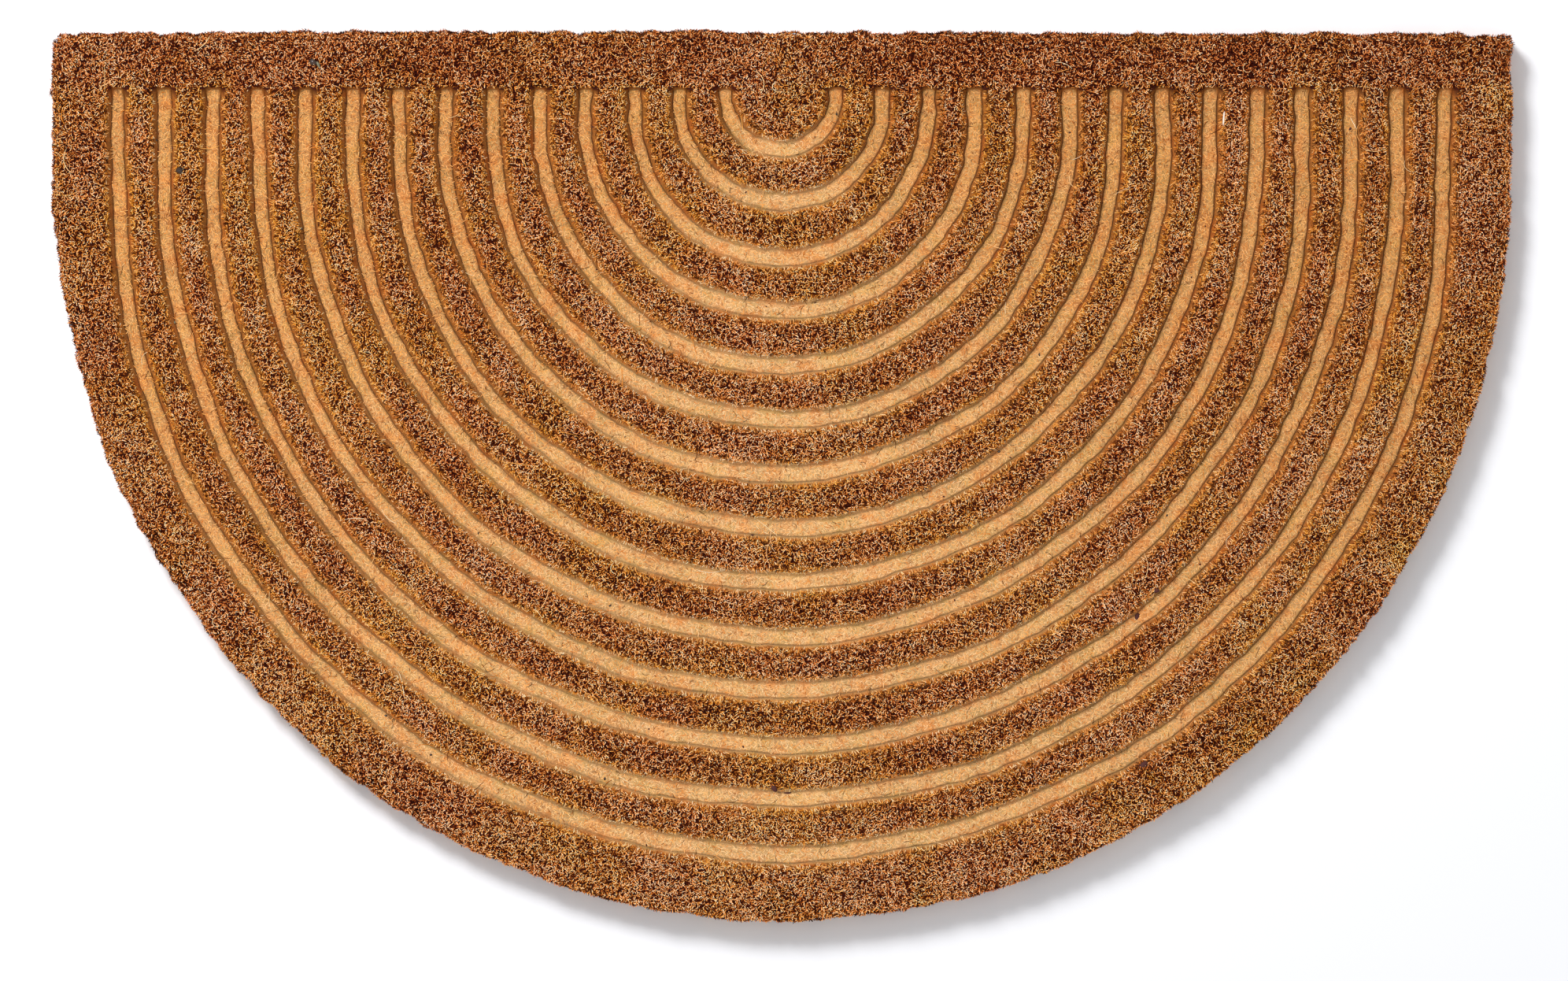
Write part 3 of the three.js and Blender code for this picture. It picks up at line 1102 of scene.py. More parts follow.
@dataclass(frozen=True)
class Dye:
    """How the fibres' tone and hue vary over the mat, as the husks they came from did."""

    mid_tone: float = 0.79
    fibre_spread: float = 0.17
    dark_share: float = 0.26
    dark_step: float = 0.52
    # Dark fibres lie together in clumps of about this size
    clump_mm: float = 0.9
    clump_share: float = 0.5
    clump_tone: float = 0.08
    mid_hue: float = 0.27
    hue_spread: float = 0.16
    # Slow changes over the mat: how strong each is and how many millimetres it takes
    broad_tone: tuple[float, float] = (0.04, 60.0)
    middling_tone: tuple[float, float] = (0.055, 15.0)
    broad_hue: tuple[float, float] = (0.3, 34.0)
    middling_hue: tuple[float, float] = (0.25, 12.0)
    # The hue's changes are read this far away from the tone's
    hue_shift: float = 300.0
    # The strip along the straight edge is darker and redder, after this many millimetres
    back_tone: float = -0.07
    back_hue: float = -0.25
    back_fade: float = 6.0
    tone_limits: Span = (0.03, 0.97)
    hue_limits: Span = (0.02, 0.98)
    patches: tuple[Patch, ...] = (
        Patch(364, 193, 7, 9, 0.12, 0.35),
        Patch(-358, 160, 14, 60, -0.05, 0.0),
        Patch(300, -70, 140, 110, 0.05, 0.0),
        Patch(0, -215, 230, 50, 0.05, 0.0),
        Patch(232, 212, 17, 6, -0.12, -0.1),
        Patch(317, -40, 7, 9, 0.12, 0.5),
        Patch(189, -154, 6, 5, 0.0, 0.5),
        Patch(183, -147, 4, 2.5, -0.45, -0.4),
        Patch(-4.3, -159.6, 2.6, 3.6, -0.45, -0.4),
    )

    def colours(
        self, x: Numbers, y: Numbers, line_y: float, dice: np.random.Generator,
    ) -> tuple[Numbers, Numbers]:
        """Gives each fibre its tone and hue.

        Args:
            x: The fibres' places along the straight edge, in millimetres.
            y: Their places towards the straight edge, in millimetres.
            line_y: Where the plain strip along the straight edge begins.
            dice: The seeded source of chance.

        Returns:
            A tone and a hue for each fibre, from 0 to 1.
        """
        first, second, fine = Unevenness(21), Unevenness(22), Unevenness(23)
        tone, hue = self.mid_tone, self.mid_hue
        for chance, (strength, pitch) in ((first, self.broad_tone), (second, self.middling_tone)):
            tone = tone + strength * chance.at(x, y, pitch)
        strength, pitch = self.broad_hue
        hue = hue + strength * second.at(x + self.hue_shift, y, pitch)
        strength, pitch = self.middling_hue
        hue = hue + strength * first.at(x, y + self.hue_shift, pitch)
        strip = smooth_step((y - line_y) / self.back_fade)
        tone, hue = tone + self.back_tone * strip, hue + self.back_hue * strip
        for patch in self.patches:
            away = ((x - patch.x) / patch.reach_x) ** 2 + ((y - patch.y) / patch.reach_y) ** 2
            share = np.exp(-away)
            tone, hue = tone + patch.tone * share, hue + patch.hue * share
        tone = tone + dice.normal(0, self.fibre_spread, len(x))
        clump = fine.at(x, y, self.clump_mm)
        dark = dice.uniform(0, 1, len(x)) < self.dark_share + self.clump_share * clump
        tone = tone - self.clump_tone * clump - self.dark_step * dark
        hue = hue + dice.normal(0, self.hue_spread, len(x))
        return np.clip(tone, *self.tone_limits), np.clip(hue, *self.hue_limits)


@dataclass(frozen=True)
class Plot:
    """Places sown over the mat, with all that the fibres need to know about them."""

    x: Numbers
    y: Numbers
    inset: Numbers
    places: BandPlaces

    def part(self, chosen: Numbers) -> "Plot":
        """Picks some of the places."""
        picked = BandPlaces(*(values[chosen] for values in vars(self.places).values()))
        return Plot(self.x[chosen], self.y[chosen], self.inset[chosen], picked)


# Real coir fibres are 0.2 to 0.3 mm thick. The crops below draw them up to 0.65 mm wide, so
# that they cover the slab within the number of triangles allowed. Lengths, widths, lifts and
# gaps are in millimetres, and swings are in radians.


@dataclass(frozen=True)
class PileCrop:
    """How the cut pile grows between the bands."""

    pitch: float = 0.86
    length: Span = (1.1, 2.0)
    width: Span = (0.32, 0.52)
    # From upright, in degrees
    lean: Span = (38.0, 78.0)
    # Fibres lean together in tufts of about this size, and each strays by this share of a turn
    tuft_mm: float = 4.5
    turn_spread: float = 0.1
    # How much the pile leans out over a band and over the cut edge
    brow_lean: float = 0.9
    rim_lean: float = 1.3
    least_lean: float = 0.2
    end_gap: float = 1.0
    # Tips stand a little below the pile's top, more or less, and no higher than this above it
    sink: float = 0.15
    sink_spread: float = 0.3
    highest: float = 0.9
    # Higher tips are painted lighter, as painted light on the tips that stand up into the lamp;
    # those at a brow are lighter, painted light that lifts the shade beside a band, and more
    # golden; and roots are painted darker, as painted shade down in the pile
    height_painted_light: float = 0.16
    brow_painted_light: float = 0.07
    brow_hue: float = 0.4
    root_painted_shade: float = 0.34
    # Distances from the middle of the bands' ends at which the pile is parted into pieces
    ring_limits: tuple[float, ...] = (0.0, 190.0, 285.0, 345.0, 1000.0)


@dataclass(frozen=True)
class LaidCrop:
    """How fibres lie pressed on the slab, and how their colour follows the pile's dye."""

    pitch: float
    half_length: Span
    width: Span
    root_lift: Span
    tip_lift: Span
    end_gap: float
    tone_share: float
    foot_tone: float
    # How much darker the roots are painted, as painted shade
    root_painted_shade: float


@dataclass(frozen=True)
class WallCrop(LaidCrop):
    """The fibres that the die drew down the walls of the bands."""

    pitch: float = 1.05
    half_length: Span = (0.6, 1.2)
    width: Span = (0.3, 0.5)
    root_lift: Span = (0.0, 0.3)
    tip_lift: Span = (0.1, 0.55)
    end_gap: float = 0.3
    # They lie from this far beside the band's middle line to this far past its brow
    start: float = 5.0
    past_brow: float = 1.2
    swing: float = 0.8
    # Their tone follows the pile's; it is painted lighter at the foot of a U and darker on a ledge,
    # painted light and shade that even out how the lamp lights the walls, and roots are painted
    # darker, as painted shade
    tone_share: float = 0.85
    least_tone: float = 0.08
    foot_tone: float = 0.17
    ledge_painted_shade: float = -0.14
    more_hue: float = 0.25
    root_painted_shade: float = 0.1


@dataclass(frozen=True)
class FloorCrop(LaidCrop):
    """The fibres that lie flat on the floors of the bands, a few of them dark."""

    pitch: float = 1.25
    half_length: Span = (0.5, 1.1)
    width: Span = (0.24, 0.42)
    root_lift: Span = (0.0, 0.08)
    tip_lift: Span = (0.0, 0.12)
    end_gap: float = 0.5
    wall_gap: float = 0.3
    # They vary less than the pile does, round one of two tones and one hue
    dark_share: float = 0.2
    dark_tone: float = 0.4
    pale_tone: float = 0.72
    tone_share: float = 0.25
    foot_tone: float = 0.08
    mid_hue: float = 0.5
    hue_share: float = 0.4
    # Roots are painted a little darker, as painted shade
    root_painted_shade: float = 0.03


@dataclass(frozen=True)
class EdgeCrop:
    """The fibres that stand in the knife-cut side of the mat."""

    count: int = 27000
    # How far inside the cut line they are rooted, and how near to that a root has to come
    inset: float = 0.85
    slack: float = 0.1
    # The heights of their roots, and the highest that a tip may stand
    low: Span = (0.5, 11.4)
    highest: float = 14.4
    length: Span = (1.8, 3.8)
    width: Span = (0.35, 0.65)
    swing: float = 0.6
    lift: Span = (0.05, 0.75)
    tone: float = -0.02
    # Roots are painted darker, as painted shade
    root_painted_shade: float = 0.15


@dataclass
class CoirPile:
    """The fibres of the mat: the cut pile, and those pressed down on the walls and floors."""

    relief: PileRelief
    seat: MatFrame
    dye: Dye = Dye()
    pile: PileCrop = PileCrop()
    walls: WallCrop = WallCrop()
    floors: FloorCrop = FloorCrop()
    edge: EdgeCrop = EdgeCrop()
    seed: int = 5
    # How far a place strays from its row, as a share of the pitch
    jitter: float = 0.38
    sown_past: float = 3.0
    # Nothing is sown nearer to the cut line than this, and no fibre ends further outside it
    rim: float = 0.35
    reach_out: float = 0.7

    def sow(self, pitch: float, seed: int) -> Plot:
        """Scatters places evenly but not in rows.

        Args:
            pitch: The distance between neighbours, in millimetres.
            seed: What the scatter is drawn from.

        Returns:
            The places that lie on the mat.
        """
        outline = self.relief.outline
        dice = np.random.default_rng((self.seed, seed))
        half_x, half_y = outline.width / 2 + self.sown_past, outline.depth / 2 + self.sown_past
        x, y = np.meshgrid(np.arange(-half_x, half_x, pitch), np.arange(-half_y, half_y, pitch))
        y[:, ::2] += pitch / 2
        x = (x + dice.uniform(-self.jitter, self.jitter, x.shape) * pitch).ravel()
        y = (y + dice.uniform(-self.jitter, self.jitter, y.shape) * pitch).ravel()
        inset = outline.inset(x, y)
        inside = inset > self.rim
        x, y, inset = x[inside], y[inside], inset[inside]
        return Plot(x, y, inset, self.relief.bands.locate(x, y))

    def colours(self, x: Numbers, y: Numbers, dice: np.random.Generator) -> tuple[Numbers, Numbers]:
        """Gives fibres at places on the mat their tone and hue."""
        return self.dye.colours(x, y, self.relief.bands.line_y, dice)

    @staticmethod
    def facing_up(count: int) -> Numbers:
        """Gives each of a crop of fibres a flat side that faces up."""
        return np.tile([0.0, 0.0, 1.0], (count, 1))

    def cut_pile(self) -> tuple[Strands, Plot]:
        """Grows the pile that stands between the bands, leaning every way.

        Returns:
            The fibres, and the places they grow at.
        """
        crop, relief = self.pile, self.relief
        plot = self.sow(crop.pitch, 1)
        between = plot.places.aside() > relief.brow_at(plot.places)
        plot = plot.part(between | (plot.places.past_end > crop.end_gap))
        x, y, places = plot.x, plot.y, plot.places
        dice = np.random.default_rng((self.seed, 2))
        count = len(x)
        tuft = Unevenness(31).at(x, y, crop.tuft_mm)
        turn = 2 * math.pi * (tuft + dice.normal(0, crop.turn_spread, count))
        lean = np.radians(dice.uniform(*crop.lean, count))
        length = dice.uniform(*crop.length, count)
        lean_x, lean_y = np.cos(turn), np.sin(turn)
        brow = relief.near_band(places)
        over = -np.sign(places.distance) * crop.brow_lean * brow
        edge = relief.near_rim(plot.inset)
        away_x, away_y = relief.outline.outward(x, y)
        past = (places.past_end > 0) & (places.aside() < relief.brow_at(places))
        over_x = np.where(past, 0, over * places.out_x)
        over_y = np.where(past, -crop.brow_lean * brow, over * places.out_y)
        lean_x = lean_x + over_x + crop.rim_lean * edge * away_x
        lean_y = lean_y + over_y + crop.rim_lean * edge * away_y
        size = np.maximum(np.hypot(lean_x, lean_y), crop.least_lean)
        lean_x, lean_y = lean_x / size, lean_y / size
        level = relief.pile_top(x, y, places, plot.inset)
        level = level + dice.normal(-crop.sink, crop.sink_spread, count)
        level = np.minimum(level, relief.top + crop.highest)
        rise, run = length * np.cos(lean), length * np.sin(lean)
        step_x, step_y = run * lean_x / 2, run * lean_y / 2
        root = np.column_stack([x - step_x, y - step_y, level - rise])
        tip = np.column_stack([x + step_x, y + step_y, level])
        tone, hue = self.colours(x, y, dice)
        # Painted light: higher tips and tips at a brow are made lighter
        tone = tone + crop.height_painted_light * (level - relief.top) + crop.brow_painted_light * brow
        hue = hue + crop.brow_hue * brow
        width = dice.uniform(*crop.width, count)
        self.hold_inside(root, tip)
        return Strands(root, tip, width, tone, hue, self.facing_up(count)), plot

    def laid(
        self, plot: Plot, step_x: Numbers, step_y: Numbers, crop: LaidCrop,
        dice: np.random.Generator,
    ) -> tuple[Numbers, Numbers]:
        """Lays fibres along the surface of the slab.

        Args:
            plot: The places of their middles.
            step_x: How far each reaches along the straight edge from there.
            step_y: How far each reaches towards the straight edge.
            crop: How high their ends lie.
            dice: The seeded source of chance.

        Returns:
            Their roots and their tips.
        """
        ends = []
        for sign, lift in ((-1, crop.root_lift), (1, crop.tip_lift)):
            x, y = plot.x + sign * step_x, plot.y + sign * step_y
            level = self.surface(x, y) + dice.uniform(*lift, len(x))
            ends.append(np.column_stack([x, y, level]))
        return ends[0], ends[1]

    def pressed_walls(self) -> Strands:
        """Lays the fibres that the die drew down the walls of the bands."""
        crop, relief = self.walls, self.relief
        plot = self.sow(crop.pitch, 3)
        aside, brow_at = plot.places.aside(), relief.brow_at(plot.places)
        on_wall = (aside > crop.start) & (aside < brow_at + crop.past_brow)
        plot = plot.part(on_wall & (plot.places.past_end < -crop.end_gap))
        places = plot.places
        dice = np.random.default_rng((self.seed, 4))
        count = len(plot.x)
        side = np.sign(places.distance)
        swing = dice.normal(0, crop.swing, count)
        down_x, down_y = -side * places.out_x, -side * places.out_y
        lie_x = down_x * np.cos(swing) - down_y * np.sin(swing)
        lie_y = down_x * np.sin(swing) + down_y * np.cos(swing)
        half = dice.uniform(*crop.half_length, count)
        root, tip = self.laid(plot, half * lie_x, half * lie_y, crop, dice)
        tone, hue = self.colours(plot.x, plot.y, dice)
        # Painted light at the foot of a U and painted shade on a ledge
        tone = crop.least_tone + crop.tone_share * tone + crop.foot_tone * relief.foot(places)
        tone = tone + crop.ledge_painted_shade * relief.ledge(places)
        width = dice.uniform(*crop.width, count)
        return Strands(root, tip, width, tone, hue + crop.more_hue, self.facing_up(count))

    def pressed_floors(self) -> Strands:
        """Lays the fibres that lie flat on the floors of the bands."""
        crop, relief = self.floors, self.relief
        plot = self.sow(crop.pitch, 5)
        on_floor = plot.places.aside() < relief.floor_half - crop.wall_gap
        plot = plot.part(on_floor & (plot.places.past_end < -crop.end_gap))
        dice = np.random.default_rng((self.seed, 6))
        count = len(plot.x)
        turn = dice.uniform(0, 2 * math.pi, count)
        half = dice.uniform(*crop.half_length, count)
        root, tip = self.laid(plot, half * np.cos(turn), half * np.sin(turn), crop, dice)
        tone, hue = self.colours(plot.x, plot.y, dice)
        dark = dice.uniform(0, 1, count) < crop.dark_share
        laid_tone = np.where(dark, crop.dark_tone, crop.pale_tone)
        tone = laid_tone + crop.tone_share * (tone - self.dye.mid_tone)
        tone = tone + crop.foot_tone * relief.foot(plot.places)
        hue = crop.mid_hue + crop.hue_share * (hue - crop.mid_hue)
        width = dice.uniform(*crop.width, count)
        return Strands(root, tip, width, tone, hue, self.facing_up(count))

    def cut_edge(self) -> Strands:
        """Stands the fibres that show in the knife-cut side of the mat."""
        crop, outline = self.edge, self.relief.outline
        dice = np.random.default_rng((self.seed, 7))
        travelled = dice.uniform(0, outline.around, crop.count)
        x, y = outline.walk(travelled)
        on_back = travelled < outline.left_start
        back_x = outline.half_width - outline.right_corner - travelled
        left_end = -outline.half_width + outline.left_corner
        x = np.where(on_back, np.maximum(back_x, left_end), x)
        y = np.where(on_back, outline.back, y)
        x, y = outline.settle(x, y, crop.inset)
        met = np.abs(outline.inset(x, y) - crop.inset) < crop.slack
        x, y, count = x[met], y[met], int(met.sum())
        away_x, away_y = outline.outward(x, y)
        low = dice.uniform(*crop.low, count)
        length = dice.uniform(*crop.length, count)
        swing = dice.normal(0, crop.swing, count)
        slide, rise = length * np.sin(swing), length * np.cos(swing)
        lift = dice.uniform(*crop.lift, count)
        root = np.column_stack([x, y, low])
        tip = np.column_stack([
            x - slide * away_y + lift * away_x, y + slide * away_x + lift * away_y,
            np.clip(low + rise, crop.low[0], crop.highest)])
        tone, hue = self.colours(x, y, dice)
        self.hold_inside(root, tip)
        facing = np.column_stack([away_x, away_y, np.zeros(count)])
        width = dice.uniform(*crop.width, count)
        return Strands(root, tip, width, tone + crop.tone, hue, facing)

    def surface(self, x: Numbers, y: Numbers) -> Numbers:
        """Gives the heights of the slab's surface at places on the mat."""
        places, inset = self.relief.bands.locate(x, y), self.relief.outline.inset(x, y)
        return self.relief.ground(x, y, places, inset)[0]

    def hold_inside(self, *ends: Numbers) -> None:
        """Pulls fibre ends that reach too far out of the mat back to its cut edge."""
        outline = self.relief.outline
        for end in ends:
            x, y = end[:, 0], end[:, 1]
            out = np.maximum(-self.reach_out - outline.inset(x, y), 0)
            away_x, away_y = outline.outward(x, y)
            end[:, 0] -= out * away_x
            end[:, 1] -= out * away_y

    def build(self, material: bpy.types.Material) -> list[bpy.types.Object]:
        """Builds every crop of fibres.

        Args:
            material: The finish of cut coir.

        Returns:
            The pieces.
        """
        pile, plot = self.cut_pile()
        strip = plot.places.past_end > 0
        reach = np.hypot(plot.x, plot.y - self.relief.bands.line_y)
        limits = self.pile.ring_limits
        crops = [("pile_back", pile.part(strip), self.pile.root_painted_shade)]
        for name, low, high in zip(("inner", "middle", "outer", "rim"), limits[:-1], limits[1:]):
            ring = pile.part(~strip & (reach >= low) & (reach < high))
            crops.append((f"pile_{name}", ring, self.pile.root_painted_shade))
        crops.append(("wall_fibres", self.pressed_walls(), self.walls.root_painted_shade))
        crops.append(("floor_fibres", self.pressed_floors(), self.floors.root_painted_shade))
        crops.append(("edge_fibres", self.cut_edge(), self.edge.root_painted_shade))
        return [strands.build(name, self.seat, material, shade) for name, strands, shade in crops]


@dataclass(frozen=True)
class StrayCrop:
    """One crop of loose fibres: how many, how long and thick in millimetres, and how pale."""

    name: str
    count: int
    shortest: float
    longest: float
    thin: float
    thick: float
    tone: float
    tone_spread: float
    curl: float
    on_floors: bool
    seed: int


@dataclass
class StrayFibres:
    """Longer fibres that lie loose on the mat, curled."""

    relief: PileRelief
    seat: MatFrame
    joints: int = 7
    sides: int = 3
    # Places tried for each fibre, and how far they keep from the cut edge and a band's ends
    tries: int = 5
    rim_gap: float = 9.0
    end_gap: float = 3.0
    # How high a fibre lies above the slab and the pile, and how far its ends dip
    floor_lift: float = 0.15
    pile_lift: float = 0.1
    end_dip: float = 0.3
    # The thickness of its first and last ends beside its middle
    end_widths: tuple[float, float] = (0.4, 0.3)
    hue: Span = (0.2, 0.75)
    tone_limits: Span = (0.02, 0.97)
    colour_stray: float = 0.006
    crops: tuple[StrayCrop, ...] = (
        StrayCrop("stray_fibres", 520, 5, 15, 0.1, 0.19, 0.72, 0.13, 1.1, False, 8),
        StrayCrop("dark_hairs", 620, 2.5, 7.5, 0.09, 0.15, 0.2, 0.08, 0.7, True, 9),
    )

    def sow(self, crop: StrayCrop, dice: np.random.Generator) -> tuple[Numbers, Numbers]:
        """Scatters the places where a crop of loose fibres begins."""
        outline = self.relief.outline
        tries = self.tries * crop.count
        x = dice.uniform(-outline.half_width, outline.half_width, tries)
        y = dice.uniform(-outline.back, outline.back, tries)
        kept = outline.inset(x, y) > self.rim_gap
        if crop.on_floors:
            places = self.relief.bands.locate(x, y)
            kept &= (places.aside() < self.relief.floor_half) & (places.past_end < -self.end_gap)
        kept = np.flatnonzero(kept)[:crop.count]
        return x[kept], y[kept]

    def build(self, material: bpy.types.Material) -> list[bpy.types.Object]:
        """Builds each crop of strays.

        Args:
            material: The finish of cut coir.

        Returns:
            The pieces.
        """
        return [self.build_crop(crop, material) for crop in self.crops]

    def build_crop(self, crop: StrayCrop, material: bpy.types.Material) -> bpy.types.Object:
        """Builds one crop as one mesh of thin curved tubes.

        Args:
            crop: The crop.
            material: The finish of cut coir.

        Returns:
            The piece.
        """
        dice = np.random.default_rng(crop.seed)
        x, y = self.sow(crop, dice)
        number = len(x)
        length = dice.uniform(crop.shortest, crop.longest, number)
        heading = dice.uniform(0, 2 * math.pi, number)
        curl = dice.normal(0, crop.curl, number)
        steps = np.linspace(-0.5, 0.5, self.joints)
        turn = heading[:, None] + curl[:, None] * steps[None] * 2
        stride = length[:, None] / (self.joints - 1)
        line_x = x[:, None] + np.cumsum(np.cos(turn) * stride, axis=1)
        line_y = y[:, None] + np.cumsum(np.sin(turn) * stride, axis=1)
        level = self.relief.resting(
            line_x.ravel(), line_y.ravel(), self.floor_lift, self.pile_lift)
        level = level.reshape(number, self.joints)
        level = (level + np.roll(level, 1, 1) + np.roll(level, -1, 1)) / 3
        level[:, [0, -1]] = level[:, [1, -2]] - self.end_dip
        first, last = self.end_widths
        thick = dice.uniform(crop.thin, crop.thick, number)[:, None]
        thick = thick * np.array([first, *[1.0] * (self.joints - 2), last])
        around = 2 * math.pi * np.arange(self.sides) / self.sides
        ring_x = line_x[..., None] - np.sin(turn)[..., None] * np.cos(around) * thick[..., None]
        ring_y = line_y[..., None] + np.cos(turn)[..., None] * np.cos(around) * thick[..., None]
        ring_z = level[..., None] + np.sin(around) * thick[..., None]
        index = np.arange(ring_x.size).reshape(ring_x.shape)
        here, ahead = index[:, :-1], index[:, 1:]
        quads = np.stack(
            [here, ahead, np.roll(ahead, -1, 2), np.roll(here, -1, 2)], axis=-1).reshape(-1)
        ends = np.concatenate([index[:, 0].ravel(), index[:, -1, ::-1].ravel()])
        sizes = np.concatenate([np.full(len(quads) // 4, 4), np.full(2 * number, self.sides)])
        corners = np.concatenate([quads, ends])
        owner = corners // (self.joints * self.sides)
        tone = np.clip(dice.normal(crop.tone, crop.tone_spread, number), *self.tone_limits)[owner]
        hue = dice.uniform(*self.hue, number)[owner]
        stray = self.colour_stray * np.column_stack([corners % 2, corners % 3])
        points = np.column_stack([ring_x.ravel(), ring_y.ravel(), ring_z.ravel()])
        return new_piece(
            crop.name, self.seat.place(*points.T), corners, sizes, [material],
            colour_map=np.column_stack([tone, hue]) + stray)


class Husk(Enum):
    """What a bit of husk in the pile is."""

    SHELL = "shell"
    SKIN = "skin"
    PITH = "pith"
    SPLINTER = "splinter"


@dataclass(frozen=True)
class HuskFinish:
    """A bit of coconut that the combing left in the fibre.

    Shell is hard, nearly black and takes a small glint; the outer skin is a grey-green, waxy
    flake; pith is dull and wine-dark; a splinter of the inner fibre is nearly white.
    """

    kind: Husk
    colour: str
    roughness: float
    ior: float = 1.5

    def material(self) -> bpy.types.Material:
        """Builds the finish."""
        return new_material(f"husk_{self.kind.value}", {
            "Base Color": linear(self.colour), "Roughness": self.roughness, "IOR": self.ior})[0]


@dataclass(frozen=True)
class Speck:
    """One bit of husk: its place, its length, width and height in millimetres, and its turn."""

    x: float
    y: float
    length: float
    width: float
    height: float
    turn: float
    kind: Husk


@dataclass
class HuskSpecks:
    """The bits of shell, skin and pith that show in the pile, and many smaller ones."""

    relief: PileRelief
    seat: MatFrame
    small_count: int = 200
    small_length: Span = (0.8, 2.0)
    small_slimness: Span = (0.4, 0.9)
    small_height: float = 0.7
    # How far the small ones keep from the cut edge
    rim_gap: float = 4.0
    # The shares of the small ones that are pith, and that are pith or shell
    pith_share: float = 0.7
    shell_share: float = 0.92
    seed: int = 12
    around: int = 8
    levels: int = 5
    # A dome's open ends, in radians from its top and bottom, and how uneven its radius is
    opening: float = 0.05
    lumpiness: Span = (0.75, 1.1)
    floor_lift: float = 0.05
    pile_sink: float = 0.25
    finishes: tuple[HuskFinish, ...] = (
        HuskFinish(Husk.SHELL, "#3a2a22", 0.22),
        HuskFinish(Husk.SKIN, "#77765f", 0.35),
        HuskFinish(Husk.PITH, "#4c1f18", 0.8),
        HuskFinish(Husk.SPLINTER, "#f4e2d4", 0.6),
    )
    named: tuple[Speck, ...] = (
        # This small pale skin flake at the right of the dark shell is partly husk skin and partly a
        # painted highlight, standing where the shell's glint shows
        Speck(-238.6, 212.2, 4.6, 1.7, 1.6, -1.1, Husk.SKIN),
        Speck(-241.4, 213.4, 5.2, 3.6, 1.5, -0.6, Husk.SHELL),
        Speck(-309.8, 157.6, 4.4, 4.0, 3.2, 0.2, Husk.SHELL),
        Speck(226.6, 184.7, 9.0, 1.3, 1.0, 1.5, Husk.SPLINTER),
        Speck(-4.6, -159.4, 6.4, 3.2, 1.6, -1.0, Husk.PITH),
        Speck(2.6, -162.3, 4.4, 1.4, 1.0, 0.0, Husk.PITH),
        Speck(182.4, -71.5, 4.6, 2.4, 0.5, 1.3, Husk.PITH),
        Speck(185.2, -147.6, 6.0, 3.4, 1.5, 0.5, Husk.PITH),
        Speck(192.0, -58.0, 3.4, 3.0, 1.2, 0.5, Husk.PITH),
    )

    def scatter(self) -> list[Speck]:
        """Draws the smaller specks, which lie anywhere on the pile."""
        dice = np.random.default_rng(self.seed)
        outline = self.relief.outline
        made: list[Speck] = []
        while len(made) < self.small_count:
            x = dice.uniform(-outline.half_width, outline.half_width)
            y = dice.uniform(-outline.back, outline.back)
            size, slim = dice.uniform(*self.small_length), dice.uniform(*self.small_slimness)
            turn, pick = dice.uniform(0, math.pi), dice.uniform(0, 1)
            if outline.inset(np.array([x]), np.array([y]))[0] > self.rim_gap:
                kind = self.pick_kind(pick)
                made.append(Speck(x, y, size, size * slim, self.small_height, turn, kind))
        return made

    def pick_kind(self, pick: float) -> Husk:
        """Turns a number from 0 to 1 into what a small speck is."""
        if pick < self.pith_share:
            return Husk.PITH
        return Husk.SHELL if pick < self.shell_share else Husk.SKIN

    def build(self) -> bpy.types.Object:
        """Builds every speck, as one mesh of small lumpy domes.

        Returns:
            The piece.
        """
        specks = [*self.named, *self.scatter()]
        dice = np.random.default_rng((self.seed, 1))
        level = self.relief.resting(
            np.array([s.x for s in specks]), np.array([s.y for s in specks]),
            self.floor_lift, -self.pile_sink)
        tilt = np.linspace(self.opening, math.pi - self.opening, self.levels)[:, None]
        turn = 2 * math.pi * np.arange(self.around)[None] / self.around
        ball = np.stack([
            np.sin(tilt) * np.cos(turn), np.sin(tilt) * np.sin(turn), np.cos(tilt) + 0 * turn],
            axis=-1)
        size = self.levels * self.around
        index = np.arange(size).reshape(self.levels, self.around)
        high, low = index[:-1], index[1:]
        walls = np.stack([high, low, np.roll(low, -1, 1), np.roll(high, -1, 1)], axis=-1).ravel()
        one = np.concatenate([walls, index[0], index[-1, ::-1]])
        one_sizes = np.concatenate([np.full(len(walls) // 4, 4), [self.around, self.around]])
        points, corners, sizes, kinds = [], [], [], []
        order = [finish.kind for finish in self.finishes]
        for number, speck in enumerate(specks):
            lumpy = ball * dice.uniform(*self.lumpiness, ball.shape[:2])[..., None]
            flat = lumpy.reshape(-1, 3) * np.array([speck.length, speck.width, speck.height]) / 2
            across = flat[:, 0] * math.cos(speck.turn) - flat[:, 1] * math.sin(speck.turn)
            up = flat[:, 0] * math.sin(speck.turn) + flat[:, 1] * math.cos(speck.turn)
            points.append(
                np.column_stack([speck.x + across, speck.y + up, level[number] + flat[:, 2]]))
            corners.append(one + number * size)
            sizes.append(one_sizes)
            kinds.append(np.full(len(one_sizes), order.index(speck.kind)))
        solid = np.concatenate(points)
        return new_piece(
            "husk_specks", self.seat.place(*solid.T), np.concatenate(corners),
            np.concatenate(sizes), [finish.material() for finish in self.finishes],
            face_materials=np.concatenate(kinds), rounded=True)


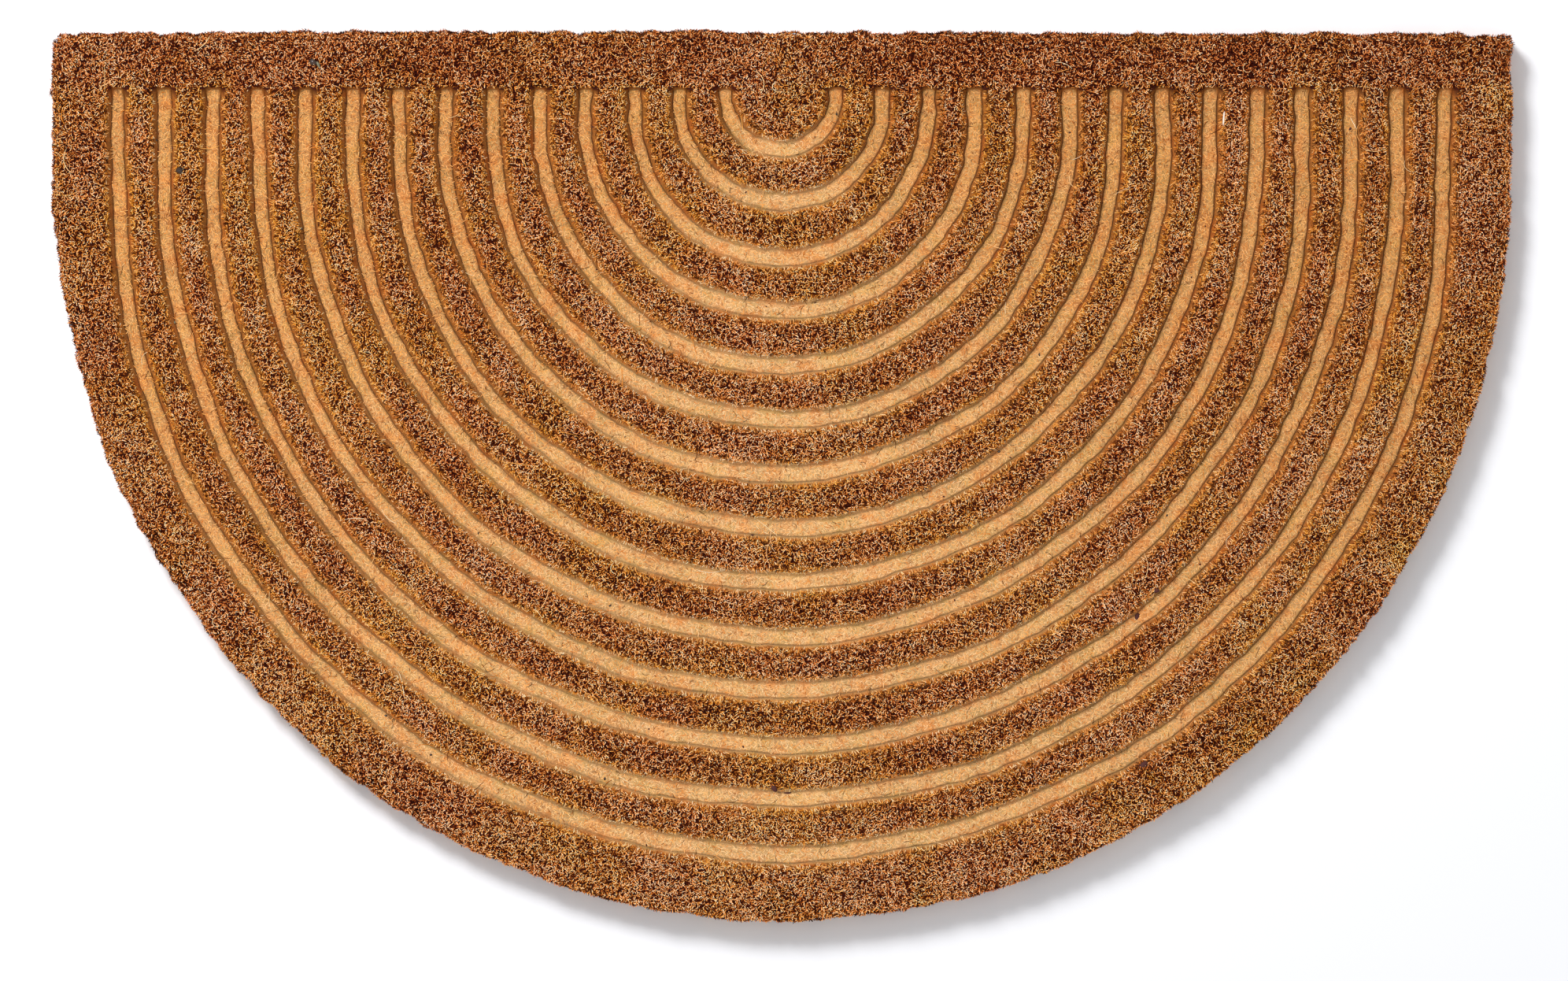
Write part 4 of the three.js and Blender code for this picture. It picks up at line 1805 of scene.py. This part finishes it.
@dataclass
class Studio:
    """A pale floor, soft lamps at the upper left and an even pale surround.

    The photo's shadow on the floor is longer than its mat's own shading allows, so a low lamp
    makes that shadow and a higher, wider one lights the mat.
    """

    floor_size: float = 6.0
    floor_colour: str = "#fafbff"
    floor_roughness: float = 0.9
    floor_specular: float = 0.1
    # The floor lies a hair below the mat, so that the two faces don't flicker
    floor_gap_mm: float = 0.1
    key_from: tuple[float, float, float] = (-0.4, 0.24, 0.885)
    key_size: float = 1.3
    key_power: float = 82.0
    low_from: tuple[float, float, float] = (-0.437, 0.65, 0.645)
    low_size: float = 0.95
    low_power: float = 97.0
    lamp_distance: float = 3.2
    surround: float = 0.575
    surround_colour: str = "#ffffff"
    lens_mm: float = 120.0
    sensor_mm: float = 36.0
    camera_height: float = 2.7005
    # The middle of the photo on the mat's drawing, in millimetres
    photo_x: float = 0.6
    photo_y: float = -6.6

    def lamp(
        self, name: str, place: tuple[float, float, float], size: float, power: float,
    ) -> bpy.types.Object:
        """Hangs one round soft lamp that points at the middle of the mat.

        Args:
            name: The lamp's name.
            place: The direction it hangs in.
            size: Its width in metres.
            power: Its power in watts.

        Returns:
            The lamp.
        """
        light = bpy.data.lights.new(name, "AREA")
        light.shape = "DISK"
        light.size = size
        light.energy = power
        made = bpy.data.objects.new(name, light)
        direction = Vector(place).normalized()
        made.location = direction * self.lamp_distance
        made.rotation_euler = direction.to_track_quat("Z", "Y").to_euler()
        bpy.context.scene.collection.objects.link(made)
        return made

    @staticmethod
    def light_only(lamp: bpy.types.Object, lit: Sequence[bpy.types.Object]) -> None:
        """Makes a lamp light only some objects, though the others still cast shadows in it."""
        lit_group = bpy.data.collections.new(f"{lamp.name}_lights")
        for thing in lit:
            lit_group.objects.link(thing)
        lamp.light_linking.receiver_collection = lit_group

    def build(self, seat: MatFrame, mat: Sequence[bpy.types.Object]) -> None:
        """Sets up the floor, the lights and the camera.

        Args:
            seat: Where the mat's drawing lies in the frame.
            mat: The pieces of the mat.
        """
        scene = bpy.context.scene
        half = self.floor_size / 2
        mesh = bpy.data.meshes.new("studio_floor")
        square = [(-half, -half, 0), (half, -half, 0), (half, half, 0), (-half, half, 0)]
        mesh.from_pydata(square, [], [(0, 1, 2, 3)])
        paper, _, _ = new_material("studio_paper", {
            "Base Color": linear(self.floor_colour), "Roughness": self.floor_roughness,
            "Specular IOR Level": self.floor_specular})
        mesh.materials.append(paper)
        floor = bpy.data.objects.new("studio_floor", mesh)
        floor.location.z = -self.floor_gap_mm * MM
        scene.collection.objects.link(floor)
        low = self.lamp("low_light", self.low_from, self.low_size, self.low_power)
        self.light_only(low, [floor])
        key = self.lamp("key_light", self.key_from, self.key_size, self.key_power)
        self.light_only(key, mat)
        world = bpy.data.worlds.new("surround")
        world.use_nodes = True
        sky = world.node_tree.nodes["Background"]
        sky.inputs["Strength"].default_value = self.surround
        sky.inputs["Color"].default_value = linear(self.surround_colour)
        scene.world = world
        lens = bpy.data.cameras.new("camera")
        lens.lens = self.lens_mm
        lens.sensor_width = self.sensor_mm
        camera = bpy.data.objects.new("camera", lens)
        over = seat.place(np.array([self.photo_x]), np.array([self.photo_y]), np.zeros(1))[0]
        camera.location = (over[0], over[1], self.camera_height)
        scene.collection.objects.link(camera)
        scene.camera = camera
        scene.view_settings.view_transform = "Standard"


def main() -> None:
    """Builds the mat, piece by piece, and sets it on the studio floor."""
    relief = PileRelief()
    seat = MatFrame(*relief.outline.middle())
    LOG.info("the drawing's middle is at %.3f, %.3f mm", seat.middle_x, seat.middle_y)
    fibre = CutCoirFinish().material()
    slab = CoirSlab(relief, seat).build(PressedCoirFinish().material())
    fibres = CoirPile(relief, seat).build(fibre)
    fibres.extend(StrayFibres(relief, seat).build(fibre))
    fibres.append(HuskSpecks(relief, seat).build())
    Studio().build(seat, [slab, *fibres])
    bpy.context.view_layer.update()


if __name__ == "__main__":
    logging.basicConfig(level=logging.INFO, format="%(name)s: %(message)s")
    main()
